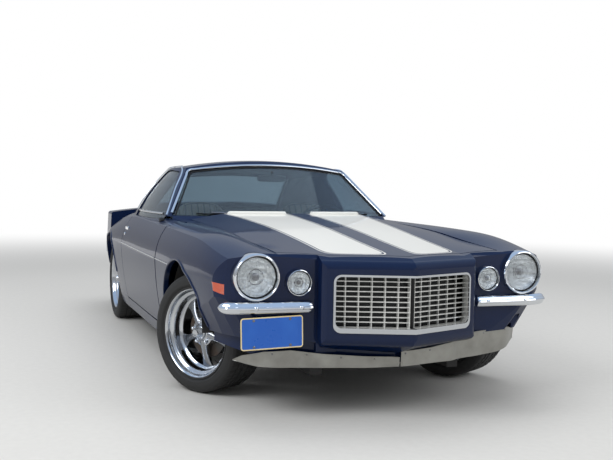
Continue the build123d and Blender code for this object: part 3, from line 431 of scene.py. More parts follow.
def grained(name, colour, grain_mm, depth_mm, rough, vary=0.15, patch_mm=120.0, tint=None, **sockets):
    """A surface with a fine grain, as bump and as a change of roughness, and with slow patches, in
    which the colour shifts towards tint as dust, wear or polish shifts the real one."""
    def build(tree):
        grain = add(tree, "TexNoise", Vector=here(tree), Scale=1000.0 / grain_mm, Detail=3.0)
        patch = add(tree, "TexNoise", Vector=here(tree), Scale=1000.0 / patch_mm, Detail=4.0)
        amount = add(tree, "MapRange", Value=patch, i1=0.42, i2=0.72, i3=0.0, i4=0.8)
        base = add(tree, "Mix", {"data_type": "RGBA"}, i0=amount, i6=colour, i7=tint or colour)
        both = add(tree, "Math", {"operation": "ADD"}, i0=grain, i1=patch)
        gloss = add(tree, "MapRange", Value=both, i1=0.7, i2=1.3, i3=rough * (1 - vary),
                    i4=min(rough * (1 + vary), 1.0))
        rise = add(tree, "Bump", Height=grain, Distance=depth_mm / 1000.0)
        return {"Base_Color": base.outputs[2], "Normal": rise, "Roughness": gloss}
    return finish(name, build, **sockets)


def stripe_mask(tree, front):
    """One inside the two stripes and their pinstripes.  Signed distances to the inner, outer and
    front edges in plan are joined by a smooth maximum, whose radius rounds the corners."""
    apart = add(tree, "SeparateXYZ", Vector=here(tree))
    x = apart.outputs[0]
    y = add(tree, "Math", {"operation": "ABSOLUTE"}, i0=apart.outputs[1])
    inner = add(tree, "Math", {"operation": "SUBTRACT"}, i0=STRIPE_INNER_Y, i1=y)
    # the outer edge widens with the square of the distance from the hood's front
    behind = add(tree, "Math", {"operation": "SUBTRACT"}, i0=STRIPE_FRONT_X, i1=x)
    reach = add(tree, "Math", {"operation": "MAXIMUM"}, i0=behind, i1=0.0)
    wider = add(tree, "Math", {"operation": "POWER"}, i0=reach, i1=2.0)
    half = add(tree, "Math", {"operation": "MULTIPLY_ADD"}, i0=wider, i1=STRIPE_SPREAD, i2=STRIPE_OUTER_Y)
    capped = add(tree, "Math", {"operation": "MINIMUM"}, i0=half, i1=STRIPE_WIDEST_Y)
    outer = add(tree, "Math", {"operation": "SUBTRACT"}, i0=y, i1=capped)
    edge = add(tree, "Math", {"operation": "SMOOTH_MAX"}, i0=inner, i1=outer, i2=STRIPE_SIDE_BLEND)
    if front:
        lean = add(tree, "Math", {"operation": "MULTIPLY_ADD"}, i0=y, i1=STRIPE_NOSE_LEAN, i2=x)
        ahead = add(tree, "Math", {"operation": "SUBTRACT"}, i0=lean, i1=STRIPE_NOSE_X)
        edge = add(tree, "Math", {"operation": "SMOOTH_MAX"}, i0=edge, i1=ahead, i2=STRIPE_CORNER_BLEND)
    field = add(tree, "Math", {"operation": "LESS_THAN"}, i0=edge, i1=0.0)
    line = add(tree, "Math", {"operation": "COMPARE"}, i0=edge, i1=settings().pinstripe_off,
               i2=settings().pinstripe_half)
    return add(tree, "Math", {"operation": "MAXIMUM"}, i0=field, i1=line)


def navy_base(tree):
    """Sprayed metallic enamel: flake 1.5 mm, drawn coarser than real so that it shows at all."""
    flake = add(tree, "TexNoise", Vector=here(tree), Scale=650.0, Detail=1.0)
    depth = add(tree, "MapRange", Value=flake, i1=0.35, i2=0.65, i3=0.0, i4=1.0)
    light = tuple(min(channel * 1.5 + 0.002, 1.0) for channel in settings().paint[:3])
    return add(tree, "Mix", {"data_type": "RGBA"}, i0=depth, i6=tuple(settings().paint),
               i7=(*light, 1.0)).outputs[2]


def orange_peel(tree):
    """The faint waviness of sprayed lacquer, ripples of about 9 mm."""
    ripple = add(tree, "TexNoise", Vector=here(tree), Scale=110.0, Detail=1.0)
    return add(tree, "Bump", Height=ripple, Distance=0.00006)


def make_finishes():
    """Every finish of the car, each named for the real material and how its surface was made, and for the
    light painted into it where there is any.
    """
    # Metallic enamel under clear lacquer: deep navy with sharp reflections
    flake_metal = 0.10
    lacquered = {"Roughness": 0.34, "Specular_IOR_Level": 0.06, "Coat_Weight": 0.5, "Coat_Roughness": 0.02}
    finish("navy_enamel", lambda tree: {"Base_Color": navy_base(tree), "Coat_Normal": orange_peel(tree)},
           Metallic=flake_metal, **lacquered)

    # The same enamel with white stripes sprayed over it and lacquered together
    for name, front in (("striped_hood_enamel", True), ("striped_lid_enamel", False)):
        def build(tree):
            mask = stripe_mask(tree, front)
            colour = add(tree, "Mix", {"data_type": "RGBA"}, i0=mask, i6=navy_base(tree),
                         i7=tuple(settings().stripe))
            metal = add(tree, "MapRange", Value=mask, i3=flake_metal, i4=0.0)
            return {"Base_Color": colour.outputs[2], "Metallic": metal, "Coat_Normal": orange_peel(tree)}
        finish(name, build, **lacquered)

    # White enamel sprayed over the raised bands behind the hood
    finish("stripe_enamel", lambda tree: {"Base_Color": tuple(settings().stripe),
                                          "Coat_Normal": orange_peel(tree)},
           Roughness=0.36, Coat_Weight=0.55, Coat_Roughness=0.03)

    # Chromium plate on pressed steel: mirror-like, with faint haze from years of polishing
    def hazed(tree):
        haze = add(tree, "TexNoise", Vector=here(tree), Scale=14.0, Detail=3.0)
        dulled = add(tree, "MapRange", Value=haze, i1=0.3, i2=0.7, i3=0.03, i4=0.11)
        wave = add(tree, "TexNoise", Vector=here(tree), Scale=9.0, Detail=1.0)
        return {"Roughness": dulled, "Normal": add(tree, "Bump", Height=wave, Distance=0.0006)}
    finish("chrome_plate", hazed, Base_Color="#dcdfe3", Metallic=1.0)

    # Polished cast aluminium rims: almost mirrors, hazed by a faint grain of 3 mm
    grained("polished_rim_alloy", "#c9ccd0", 3.0, 0.04, 0.14, tint="#b3b6ba", Metallic=1.0)
    # Cast alloy spokes, ground and polished by hand: softer and greyer than the rim
    grained("cast_alloy", "#9a9da2", 2.2, 0.06, 0.24, tint="#7d8085", Metallic=1.0)
    # Turned iron brake disc: dull grey, stained brown in patches
    grained("turned_iron", "#4a4846", 1.5, 0.05, 0.42, tint="#5c4a3c", Metallic=0.8)

    # Carbon-black rubber moulded in a ribbed mould, greyed by dust in patches 60 mm wide
    grained("tyre_rubber", "#141416", 2.5, 0.18, 0.72, patch_mm=60.0, tint="#232326")
    # Extruded rubber seals: dull black
    grained("seal_rubber", "#101011", 1.5, 0.05, 0.75, tint="#1b1b1c")

    # Laminated window glass with a faint blue-green tint
    def tinted(tree):
        dust = add(tree, "TexNoise", Vector=here(tree), Scale=6.0, Detail=5.0)
        return {"Roughness": add(tree, "MapRange", Value=dust, i1=0.45, i2=0.8, i3=0.0, i4=0.03)}
    finish("window_glass", tinted, Base_Color="#8fa0a8", Transmission_Weight=1.0, IOR=1.45,
           Specular_IOR_Level=0.12)

    # Pressed clear glass of the lamps: vertical flutes 7 mm apart crossed by steps of 24 mm
    def fluted(tree):
        flutes = add(tree, "TexWave", {"bands_direction": "Y"}, Vector=here(tree), Scale=46.0)
        steps = add(tree, "TexWave", {"bands_direction": "Z", "wave_profile": "TRI"},
                    Vector=here(tree), Scale=13.0)
        height = add(tree, "Math", {"operation": "ADD"}, i0=flutes, i1=steps)
        return {"Normal": add(tree, "Bump", Height=height, Distance=0.0012, Strength=0.5)}
    finish("pressed_lamp_glass", fluted, Base_Color="#f7fafb", Roughness=0.01,
           Transmission_Weight=1.0, IOR=1.5)

    # Silvered reflector bowl behind the glass: facets about 18 mm across.  Its near-white base, mostly not
    # metallic, is a painted reflection that keeps the bowl bright
    def silvered(tree):
        cells = add(tree, "TexVoronoi", Vector=here(tree), Scale=55.0)
        return {"Normal": add(tree, "Bump", Height=cells, Distance=0.008)}
    finish("silvered_reflector_with_painted_reflection", silvered, Base_Color="#fdfdfc", Metallic=0.35, Roughness=0.18)

    # Moulded acrylic lenses: rows of prisms 5 mm apart under a glossy face
    for name, colour in (("red_acrylic", "#8e0d0f"), ("amber_acrylic", "#c94a17")):
        def prisms(tree):
            rows = add(tree, "TexWave", {"bands_direction": "Z"}, Vector=here(tree), Scale=62.0)
            return {"Normal": add(tree, "Bump", Height=rows, Distance=0.0012)}
        finish(name, prisms, Base_Color=colour, Roughness=0.22, Coat_Weight=1.0, Coat_Roughness=0.04)

    # Rolled sheet aluminium, cut and bent by hand: dull, smudged and slightly wavy
    def rolled(tree):
        smudge = add(tree, "TexNoise", Vector=here(tree), Scale=9.0, Detail=5.0)
        rolling = add(tree, "Mapping", Vector=here(tree), Scale=(1.0, 1.0, 14.0))
        lines = add(tree, "TexNoise", Vector=rolling, Scale=40.0, Detail=3.0)
        wave = add(tree, "TexNoise", Vector=here(tree), Scale=5.0, Detail=1.0)
        height = add(tree, "Math", {"operation": "MULTIPLY_ADD"}, i0=lines, i1=0.06, i2=wave)
        patch = add(tree, "MapRange", Value=smudge, i1=0.35, i2=0.68)
        colour = add(tree, "Mix", {"data_type": "RGBA"}, i0=patch, i6="#8b8a85", i7="#a3a29c")
        return {"Base_Color": colour.outputs[2],
                "Roughness": add(tree, "MapRange", Value=smudge, i1=0.3, i2=0.7, i3=0.30, i4=0.48),
                "Normal": add(tree, "Bump", Height=height, Distance=0.006)}
    finish("rolled_sheet_aluminium", rolled, Metallic=0.9)

    # Baked enamel on an embossed steel plate
    grained("plate_blue_enamel", "#1c5fc0", 30.0, 0.05, 0.32, tint="#2a6ccb")
    grained("plate_cream_enamel", "#efdfae", 30.0, 0.05, 0.32, tint="#e8c888")
    # Calendered vinyl over foam: pebble grain of 1.2 mm
    grained("black_vinyl", "#1a1a1b", 1.2, 0.15, 0.55, tint="#222224")
    # Stove enamel and paint of the chassis, dusted by the road
    grained("chassis_enamel", "#1a1a1b", 8.0, 0.2, 0.55, tint="#2b2926")
    # Sand-cast iron block, painted grey-blue long ago
    grained("cast_iron", "#4d5156", 3.0, 0.5, 0.62, tint="#5b544d", Metallic=0.35)
    # Drawn steel tube and plate, lightly tarnished
    grained("tarnished_steel", "#86868a", 6.0, 0.2, 0.42, tint="#76706a", Metallic=1.0)
    # Cast and finned aluminium covers
    grained("polished_cover_alloy", "#c4c6c9", 4.0, 0.05, 0.2, tint="#a9abad", Metallic=1.0)
    # Paper element of the air filter: dull and tan, with a grain of 5 mm; its mesh has the folds
    grained("filter_paper", "#c9b48a", 5.0, 0.8, 0.85, tint="#a8956f")
    # Black satin paint on the dials and the mirror's foot, and on the black sheet behind the grille, which is
    # painted shade
    grained("bucket_black", "#0b0b0c", 5.0, 0.05, 0.5, tint="#121213")

    # Grille casting: plated frame, bright painted lattice behind it, black centre post
    def cast_grille(tree):
        apart = add(tree, "SeparateXYZ", Vector=here(tree))
        across = add(tree, "Math", {"operation": "ABSOLUTE"}, i0=apart.outputs[1])
        deep = add(tree, "Math", {"operation": "MULTIPLY_ADD"}, i0=across, i1=V_SLOPE, i2=apart.outputs[0])
        frame_front = add(tree, "Math", {"operation": "GREATER_THAN"}, i0=deep,
                          i1=NOSE_X - GRILLE_FACE_DEPTH)
        beside = add(tree, "Math", {"operation": "GREATER_THAN"}, i0=across, i1=GRILLE_POST_HALF)
        kept = add(tree, "Math", {"operation": "MAXIMUM"}, i0=frame_front, i1=beside)
        speck = add(tree, "TexNoise", Vector=here(tree), Scale=60.0, Detail=3.0)
        bright = add(tree, "Mix", {"data_type": "RGBA"}, i0=speck, i6="#f2f2ee", i7="#cfd0ce")
        plated = add(tree, "Mix", {"data_type": "RGBA"}, i0=frame_front, i6=bright.outputs[2], i7="#c3c6ca")
        colour = add(tree, "Mix", {"data_type": "RGBA"}, i0=kept, i6="#0b0b0c", i7=plated.outputs[2])
        return {"Base_Color": colour.outputs[2],
                "Metallic": add(tree, "MapRange", Value=frame_front, i3=0.45, i4=1.0),
                "Roughness": add(tree, "MapRange", Value=frame_front, i3=0.30, i4=0.07)}
    finish("cast_and_plated_grille", cast_grille)

    # Woven wool-and-nylon seat cloth: threads of 1.6 mm, with painted shade darkening the sewn channels
    def woven(tree):
        place = here(tree)
        warp = add(tree, "TexWave", {"bands_direction": "Y"}, Vector=place, Scale=200.0)
        weft = add(tree, "TexWave", {"bands_direction": "Z"}, Vector=place, Scale=200.0)
        weave = add(tree, "Math", {"operation": "MULTIPLY"}, i0=warp, i1=weft)
        apart = add(tree, "SeparateXYZ", Vector=place)
        across = add(tree, "Math", {"operation": "ABSOLUTE"}, i0=apart.outputs[1])
        phase = add(tree, "Math", {"operation": "MULTIPLY_ADD"}, i0=across,
                    i1=math.pi / settings().pleat_pitch, i2=-SEAT_Y * math.pi / settings().pleat_pitch)
        swing = add(tree, "Math", {"operation": "COSINE"}, i0=phase)
        size = add(tree, "Math", {"operation": "ABSOLUTE"}, i0=swing)
        # the sewn channels are darkened down to a quarter of the cloth's colour: painted shade in the
        # recesses
        channel = add(tree, "MapRange", {"interpolation_type": "SMOOTHSTEP"}, Value=size, i1=0.0, i2=0.45)
        thread = add(tree, "MapRange", Value=weave, i3=0.8, i4=1.1)
        thread_tone_and_channel_shade = add(tree, "Math", {"operation": "MULTIPLY"}, i0=thread,
                   i1=add(tree, "MapRange", Value=channel, i3=0.25, i4=1.0))
        colour = add(tree, "VectorMath", {"operation": "SCALE"}, i0=tuple(settings().seat_cloth)[:3],
                     Scale=thread_tone_and_channel_shade)
        return {"Base_Color": colour.outputs[0],
                "Normal": add(tree, "Bump", Height=weave, Distance=0.0005)}
    finish("woven_seat_cloth", woven, Roughness=0.9, Sheen_Weight=0.25, Sheen_Roughness=0.5)


class CAR_OT_finishes(bpy.types.Operator):
    """Gives every CAD node its real finish"""

    bl_idname = "car.finishes"
    bl_label = "Finishes"

    def execute(self, context):
        make_finishes()
        by_slot = {
            "navy_paint": "navy_enamel", "bright_metal": "chrome_plate", "dark_glass": "window_glass",
            "lamp_glass": "pressed_lamp_glass", "red_lens": "red_acrylic", "amber_lens": "amber_acrylic",
            "bare_sheet": "rolled_sheet_aluminium", "plate_blue": "plate_blue_enamel",
            "black_trim": "black_vinyl", "beige_cloth": "woven_seat_cloth",
            "chassis_black": "chassis_enamel", "iron": "cast_iron", "steel": "tarnished_steel",
            "wheel_alloy": "cast_alloy", "tyre_rubber": "tyre_rubber",
        }
        by_node = {"hood": "striped_hood_enamel", "trunk_lid": "striped_lid_enamel",
                   "grille": "cast_and_plated_grille", "radiator": "chassis_enamel"}
        for row in frame["record"]["subparts"]:
            name = by_node.get(row["node"], by_slot[row["material_slot"]])
            for slot in NODES[row["node"]].material_slots:
                slot.material = bpy.data.materials[name]
        return {"FINISHED"}


def at_wheel(shape, end, side):
    """A shape made about the y axis, its face towards +y, put in a wheel's place at rest: out to
    the wheel's middle plane, round the kingpin by the steering angle, and mirrored for the right."""
    axle_x, plane_y, pivot_y, steer, _, _ = WHEELS[end]
    steer *= SIDES[side]
    c, s = math.cos(steer), math.sin(steer)
    x, y, z = (shape[0] + (0, plane_y - pivot_y, 0)).T
    points = np.stack([c * x - s * y + axle_x, s * x + c * y + pivot_y, z + TYRE_R], 1)
    placed = points, shape[1]
    return placed if side == "left" else mirrored(placed)


def spun(shape, degrees):
    """A shape turned about the wheel's own axis."""
    return turned(shape, "Y", degrees)


class CAR_OT_tyres(bpy.types.Operator):
    """Treaded tyres in place of the plain ones"""

    bl_idname = "car.tyres"
    bl_label = "Tyres"

    def section(self, half_rim, half_tyre):
        """The tyre's outer line from the outer bead over the tread to the inner bead, then back
        along the air chamber: (radius, across) points."""
        flank = [(0.233, half_rim - 0.008), (0.2385, half_rim + 0.0015), (0.2465, half_rim + 0.0035),
                 (0.2500, half_rim - 0.0005), (0.2545, half_tyre - 0.0052), (0.2600, half_tyre - 0.0024),
                 (0.2625, half_tyre - 0.0007), (0.2660, half_tyre - 0.0009), (0.2740, half_tyre - 0.0002),
                 (0.2820, half_tyre), (0.2890, half_tyre - 0.0016), (0.2960, half_tyre - 0.0042),
                 (0.3015, half_tyre - 0.0068), (0.3035, half_tyre - 0.0072), (0.3060, half_tyre - 0.0088),
                 (0.3115, half_tyre - 0.0135), (0.3160, half_tyre - 0.0195), (0.3185, half_tyre - 0.0260)]
        reach = half_tyre - 0.034
        crown = []
        # each groove's place across the tread, and the middle of the rib that follows it
        for groove, rib in ((0.060, [(0.3198, 0.041)]), (0.022, [(TYRE_R, 0.0)]),
                            (-0.022, [(0.3198, -0.041)]), (-0.060, [])):
            for off, deep in ((0.0062, 0), (0.0048, 0.6), (0.0036, 1), (-0.0036, 1), (-0.0048, 0.6),
                              (-0.0062, 0)):
                across = groove + off
                radius = TYRE_R - 0.0018 * (across / reach) ** 2 - deep * settings().groove_depth
                crown.append((radius, across))
            crown += rib
        inner = [(radius, -across) for radius, across in reversed(flank)]
        chamber = [(0.2350, 0.020 - half_rim), (0.3080, 0.030 - half_tyre), (0.3085, half_tyre - 0.030),
                   (0.2350, half_rim - 0.020)]
        return np.array(flank + crown + inner + chamber)

    def tyre(self, half_rim, half_tyre):
        """The section turned round the axle.  The blocks outside the centre rib are parted by slots,
        whose places round the tyre are skewed with their distance across."""
        steps, blocks, slot_share, skewness = 360, 60, 0.19, 0.55
        rib_half, tread_r, shoulder = 0.024, 0.3105, 0.028
        section = self.section(half_rim, half_tyre)
        turn = np.arange(steps)[:, None] * 2 * np.pi / steps
        radius = np.broadcast_to(section[:, 0], (steps, len(section))).copy()
        across = np.broadcast_to(section[:, 1], (steps, len(section)))
        step = (turn / (2 * np.pi) * blocks + skewness * np.abs(across) / half_tyre) % 1
        slot = (step < slot_share) & (np.abs(across) > rib_half) & (radius > tread_r)
        slot_floor = np.where(np.abs(across[slot]) > half_tyre - shoulder, 0.3145, 0.3150)
        radius[slot] = np.minimum(radius[slot], slot_floor)
        points = np.stack([radius * np.cos(turn), across, radius * np.sin(turn)], -1)
        return surface(points, wrap_u=True, wrap_v=True)

    def execute(self, context):
        for end, (*_, half_rim, half_tyre) in WHEELS.items():
            shape = self.tyre(half_rim, half_tyre)
            for side in SIDES:
                piece(f"tread_tyre_{end}_{side}", at_wheel(shape, end, side), "tyre_rubber",
                      f"wheel_{end}_{side}", stands_for=f"tyre_{end}_{side}", sharp=28)
        return {"FINISHED"}


class CAR_OT_wheels(bpy.types.Operator):
    """Five-spoke cast wheels with polished rims, lug nuts and brake discs"""

    bl_idname = "car.wheels"
    bl_label = "Wheels"

    def rim(self, h):
        """The barrel and its rolled outer lip, as (radius, across) points of one closed line."""
        lip = [(0.2430, h - 0.0005), (0.2438, h - 0.0022), (0.2430, h - 0.0062), (0.2320, h - 0.0075),
               (0.2320, h - 0.030), (0.2140, h - 0.044), (0.2140, 0.044 - h), (0.2320, 0.030 - h),
               (0.2320, 0.007 - h), (0.2430, 0.006 - h), (0.2430, 0.0005 - h), (0.2340, 0.0003 - h),
               (0.2270, 0.012 - h), (0.2240, 0.030 - h), (0.2060, 0.046 - h), (0.2060, h - 0.104)]
        face = [(0.1902, h - 0.1020), (0.1882, h - 0.0980), (0.1880, h - 0.0885), (0.1892, h - 0.0864),
                (0.1925, h - 0.0838), (0.2025, h - 0.0782), (0.2050, h - 0.0720), (0.2060, h - 0.0580),
                (0.2062, h - 0.0400), (0.2110, h - 0.0340),
                (0.2205, h - 0.0310), (0.2240, h - 0.0285), (0.2262, h - 0.0200), (0.2285, h - 0.0110),
                (0.2325, h - 0.0055), (0.2360, h - 0.0012), (0.2400, h + 0.0004)]
        return lathe(lip + face, 160, "y")

    def spoke(self, h):
        """One spoke along +x.  Its half-width narrows to the middle and flares at both ends, and its
        face is crowned: each cross line drops from a ridge to rounded shoulders and steep flanks."""
        rows, root_r, waist_r, tip_r = 22, 0.046, 0.112, 0.1965
        run = np.linspace(0, 1, rows)[:, None]
        radius = root_r + run * (tip_r - root_r)
        inwards = np.clip((waist_r - radius) / 0.060, 0, 1)
        outwards = np.clip((radius - waist_r) / 0.084, 0, 1)
        half = 0.0185 + 0.0065 * inwards ** 2 + 0.0245 * outwards ** 1.7
        ridge = h - 0.0485 - 0.0215 * run - 0.0155 * run ** 2
        side = np.array([-1, -0.97, -0.86, -0.70, -0.48, -0.24, 0, 0.24, 0.48, 0.70, 0.86, 0.97, 1])[None]
        drop = np.array([0.0250, 0.0165, 0.0095, 0.0055, 0.0030, 0.0010, 0, 0.0010, 0.0030, 0.0055, 0.0095,
                         0.0165, 0.0250])[None]
        face = np.stack([np.broadcast_to(radius, (rows, side.size)), ridge - drop * (1 - 0.55 * run),
                         half * side], -1)
        back = np.stack([np.broadcast_to(radius, (rows, 2)), np.repeat(h - 0.0955 - 0.0035 * run, 2, 1),
                         half * np.array([[0.92, -0.92]])], -1)
        return surface(np.concatenate([face, back], 1), wrap_v=True, caps=True)

    def hub(self, h):
        """The hub's cone and its bright flat end, as (radius, across) points turned round the axle."""
        cone = [(0, h - 0.0055), (0.0150, h - 0.0055), (0.0170, h - 0.0045), (0.0195, h - 0.0050),
                (0.0215, h - 0.0090), (0.0235, h - 0.0150), (0.0285, h - 0.0260), (0.0325, h - 0.0360),
                (0.0345, h - 0.0370), (0.0375, h - 0.0420), (0.0390, h - 0.0510), (0.0460, h - 0.0550),
                (0.0700, h - 0.0580), (0.0755, h - 0.0620), (0.0760, h - 0.0700), (0.0760, h - 0.0990),
                (0, h - 0.0990)]
        return lathe(cone, 72, "y")

    def lug_nut(self, h):
        """An acorn nut in its dish: a hexagon whose loops round off towards a ball end."""
        turn = np.arange(24) * 2 * np.pi / 24
        hexed = 0.0105 / np.cos((turn + np.pi / 6) % (np.pi / 3) - np.pi / 6)
        loops = []
        for radius, six, out in ((1.0, 1.0, 0.0), (1.0, 1.0, 0.012), (0.93, 0.7, 0.0145), (0.80, 0.2, 0.019),
                                 (0.55, 0.0, 0.023), (0.22, 0.0, 0.0252)):
            size = radius * (six * hexed + (1 - six) * 0.0112)
            loops.append(np.stack([0.060 + size * np.cos(turn), np.full(24, h - 0.0610 + out),
                                   size * np.sin(turn)], 1))
        return stack(loops)

    def execute(self, context):
        phase = math.degrees(SPOKE_PHASE)
        turns = [phase + 360 / SPOKES * k for k in range(SPOKES)]
        for end in WHEELS:
            h = WHEELS[end][4]
            spokes = join(*[spun(self.spoke(h), turn) for turn in turns])
            nuts = join(*[spun(self.lug_nut(h), turn + 180 / SPOKES) for turn in turns])
            disc = lathe([(0.076, h - 0.1115), (0.139, h - 0.1115), (0.140, h - 0.1105), (0.140, h - 0.1015),
                          (0.139, h - 0.1005), (0.076, h - 0.1005)], 96, "y")
            stem = lathe([(0, 0), (0.0036, 0), (0.0036, 0.018), (0.0028, 0.0185), (0.0028, 0.026),
                          (0, 0.0262)], 12, "x")
            valve = spun(turned(stem, "Z", 155, move=(0.2130, h - 0.0380, 0)), phase + 30)
            # name, shape, finish, sharp angle, and whether it stands for the CAD wheel
            parts = (("rim", self.rim(h), "polished_rim_alloy", 40, True),
                     ("spokes", spokes, "cast_alloy", 50, True),
                     ("hub", self.hub(h), "polished_rim_alloy", 35, True),
                     ("brake_disc", disc, "turned_iron", 32, True),
                     ("lug_nuts", nuts, "chrome_plate", 32, False),
                     ("valve", valve, "seal_rubber", 32, False))
            for side in SIDES:
                wheel = f"wheel_{end}_{side}"
                for name, shape, look, sharp, stands in parts:
                    piece(f"{name}_{end}_{side}", at_wheel(shape, end, side), look, wheel,
                          stands_for=wheel if stands else None, sharp=sharp)
        return {"FINISHED"}


class CAR_OT_lamps(bpy.types.Operator):
    """Headlamps and parking lamps: plated bezels, fluted glass, reflectors and bulbs"""

    bl_idname = "car.lamps"
    bl_label = "Front lamps"

    def execute(self, context):
        bezels, gaskets, glasses, bowls, bulbs = [], [], [], [], []
        dome = np.linspace(0, 1, 14)
        for y, z, outer, front in (HEADLAMP, PARKING_LAMP):
            k = outer / HEADLAMP[2]
            hole = RING_HOLE * outer
            lens_r = GLASS_SHARE * outer
            bezels.append(lathe([(outer - 0.0006, 2.100), (outer - 0.0006, front - 0.012),
                                 (outer - 0.002, front - 0.006), (outer - 0.006 * k, front - 0.0012),
                                 (outer - 0.010 * k, front), (outer - 0.0125 * k, front - 0.002),
                                 (hole + 0.001, front - 0.009 * k), (hole, front - 0.013 * k),
                                 (hole, 2.100)], 96, "x", (0, y, z)))
            gaskets.append(lathe([(hole + 0.0008, 2.098), (hole + 0.0008, front - 0.020 * k),
                                  (lens_r - 0.001, front - 0.022 * k), (lens_r - 0.001, 2.098)],
                                 72, "x", (0, y, z)))
            height = 0.020 * k * (1 - dome ** 2)
            shell = [(lens_r * d, front - 0.020 * k + up) for d, up in zip(dome, height)]
            shell += [(lens_r * d, front - 0.0235 * k + up * 0.96) for d, up in zip(dome[::-1], height[::-1])]
            glasses.append(lathe(shell, 96, "x", (0, y, z)))
            deep = 0.042 * k
            bowl = [(lens_r * d, front - 0.026 * k - deep * (1 - d ** 2)) for d in dome]
            bowl += [(lens_r * d, front - 0.028 * k - deep * (1 - d ** 2) - 0.001) for d in dome[::-1]]
            bowls.append(lathe(bowl, 72, "x", (0, y, z)))
            shield = [(0, front - 0.030 * k), (0.012 * k, front - 0.031 * k), (0.0185 * k, front - 0.035 * k),
                      (0.0195 * k, front - 0.041 * k), (0.013 * k, front - 0.050 * k), (0, front - 0.066 * k)]
            bulbs.append(lathe(shield, 36, "x", (0, y, z)))
            ring = np.linspace(0, 2 * np.pi, 10, endpoint=False)
            hoop = [(0.036 * k + 0.0022 * k * math.cos(a), front - 0.033 * k + 0.0022 * k * math.sin(a))
                    for a in ring]
            bulbs.append(lathe(hoop, 48, "x", (0, y, z)))
        for name, shapes, look, slot, node in (
                ("lamp_bezels", bezels, "chrome_plate", None, "lamp_rings"),
                ("lamp_gaskets", gaskets, "seal_rubber", None, "lamp_rings"),
                ("lamp_glasses", glasses, "pressed_lamp_glass", None, "lamp_lenses"),
                ("lamp_reflectors", bowls, "silvered_reflector_with_painted_reflection", None, "lamp_lenses"),
                ("lamp_bulbs", bulbs, "tarnished_steel", "lamp_glass", "lamp_lenses")):
            piece(name, pair(join(*shapes)), look, slot=slot, stands_for=node)
        return {"FINISHED"}


class CAR_OT_bumpers(bpy.types.Operator):
    """Split front bumpers as pressed, ridged blades, with their bolts and arms"""

    bl_idname = "car.bumpers"
    bl_label = "Bumpers"

    def blade(self):
        """Section of a bumper blade: a crowned face with a raised ridge along its middle, rolled
        edges and a hollow back, as (across, rise) points with across towards the front."""
        face = [(-0.0165, -0.0255), (-0.0125, -0.0290), (-0.0050, -0.0282), (0.0040, -0.0225),
                (0.0085, -0.0140), (0.0108, -0.0088), (0.0145, -0.0062), (0.0168, 0.0), (0.0145, 0.0062),
                (0.0108, 0.0088), (0.0085, 0.0140), (0.0040, 0.0225), (-0.0050, 0.0282), (-0.0125, 0.0290),
                (-0.0165, 0.0255)]
        back = [(-0.0145, 0.0240), (-0.0115, 0.0262), (-0.0060, 0.0252), (0.0015, 0.0198), (0.0060, 0.0),
                (0.0015, -0.0198), (-0.0060, -0.0252), (-0.0115, -0.0262), (-0.0145, -0.0240)]
        return face + back

    def execute(self, context):
        z = BUMPER_Z
        plan = [(2.1690, 0.436), (2.1672, 0.50), (2.1650, 0.60), (2.1612, 0.70), (2.1560, 0.760),
                (2.1440, 0.812), (2.1245, 0.853), (2.0930, 0.884)]
        route = spline([(x, y, z) for x, y in plan], 56)
        # each end rounds off over a share of the blade's length
        run = np.linspace(0, 1, len(route))
        scale = np.sqrt(np.clip(1 - ((0.045 - run) / 0.045).clip(0, 1) ** 2.4, 0.02, 1))
        scale *= np.sqrt(np.clip(1 - ((run - 0.885) / 0.115).clip(0, 1) ** 2.2, 0.015, 1))
        bar = along(route, self.blade(), scale=scale)
        bolt = lathe([(0, 0.0), (0.0105, 0.0), (0.0105, 0.0022), (0.0080, 0.0052), (0.0040, 0.0068),
                      (0, 0.0074)], 20, "x")
        bolts = join(*[moved(bolt, (x, y, z)) for x, y in ((2.1815, 0.500), (2.1725, 0.720))])
        piece("bumper_blades_front", pair(join(bar, bolts)), "chrome_plate", stands_for="front_bumpers")
        arms = join(*[bar_x(2.085, x, y, z, 0.040, 0.026) for x, y in ((2.158, 0.50), (2.152, 0.72))])
        piece("bumper_arms_front", pair(arms), "chassis_enamel", stands_for="front_bumpers")
        return {"FINISHED"}


def arc(p, middle, q, count):
    """Points on the circle through three points of a plane, from p by way of middle to q."""
    (ax, ay), (bx, by), (cx, cy) = p, middle, q
    d = 2 * (ax * (by - cy) + bx * (cy - ay) + cx * (ay - by))
    a2, b2, c2 = ax * ax + ay * ay, bx * bx + by * by, cx * cx + cy * cy
    centre = np.array([(a2 * (by - cy) + b2 * (cy - ay) + c2 * (ay - by)) / d,
                       (a2 * (cx - bx) + b2 * (ax - cx) + c2 * (bx - ax)) / d])
    rays = np.array([p, middle, q]) - centre
    start, _, end = np.unwrap(np.arctan2(rays[:, 1], rays[:, 0]))
    turn = np.linspace(start, end, count)
    return centre + np.linalg.norm(rays[0]) * np.stack([np.cos(turn), np.sin(turn)], 1)


def line(p, q, count):
    """Points at even steps from p to q."""
    return np.linspace(p, q, count)


def wall(path, low, high, thick, rows=8, lean=0.0):
    """A sheet standing on a plan curve: at each station it rises from low to high, leans by lean of
    its height along its own normal, and has a back face at its thickness behind the front one."""
    ahead = np.gradient(path, axis=0)
    out = np.stack([ahead[:, 1], -ahead[:, 0]], 1)
    out /= np.linalg.norm(out, axis=1, keepdims=True)
    up = np.linspace(0, 1, rows)[None, :, None]
    low, high = np.broadcast_to(low, len(path)), np.broadcast_to(high, len(path))
    z = low[:, None, None] + up * (high - low)[:, None, None]
    face = path[:, None] + out[:, None] * lean * (z - low[:, None, None])
    hem = 0.0012 * (np.abs(up - 0.5) > 0.45)
    front = np.concatenate([face + out[:, None] * hem, z], -1)
    back = np.concatenate([face - out[:, None] * (thick + hem), z], -1)
    return surface(np.concatenate([front, back[:, ::-1]], 1), wrap_v=True, caps=True)


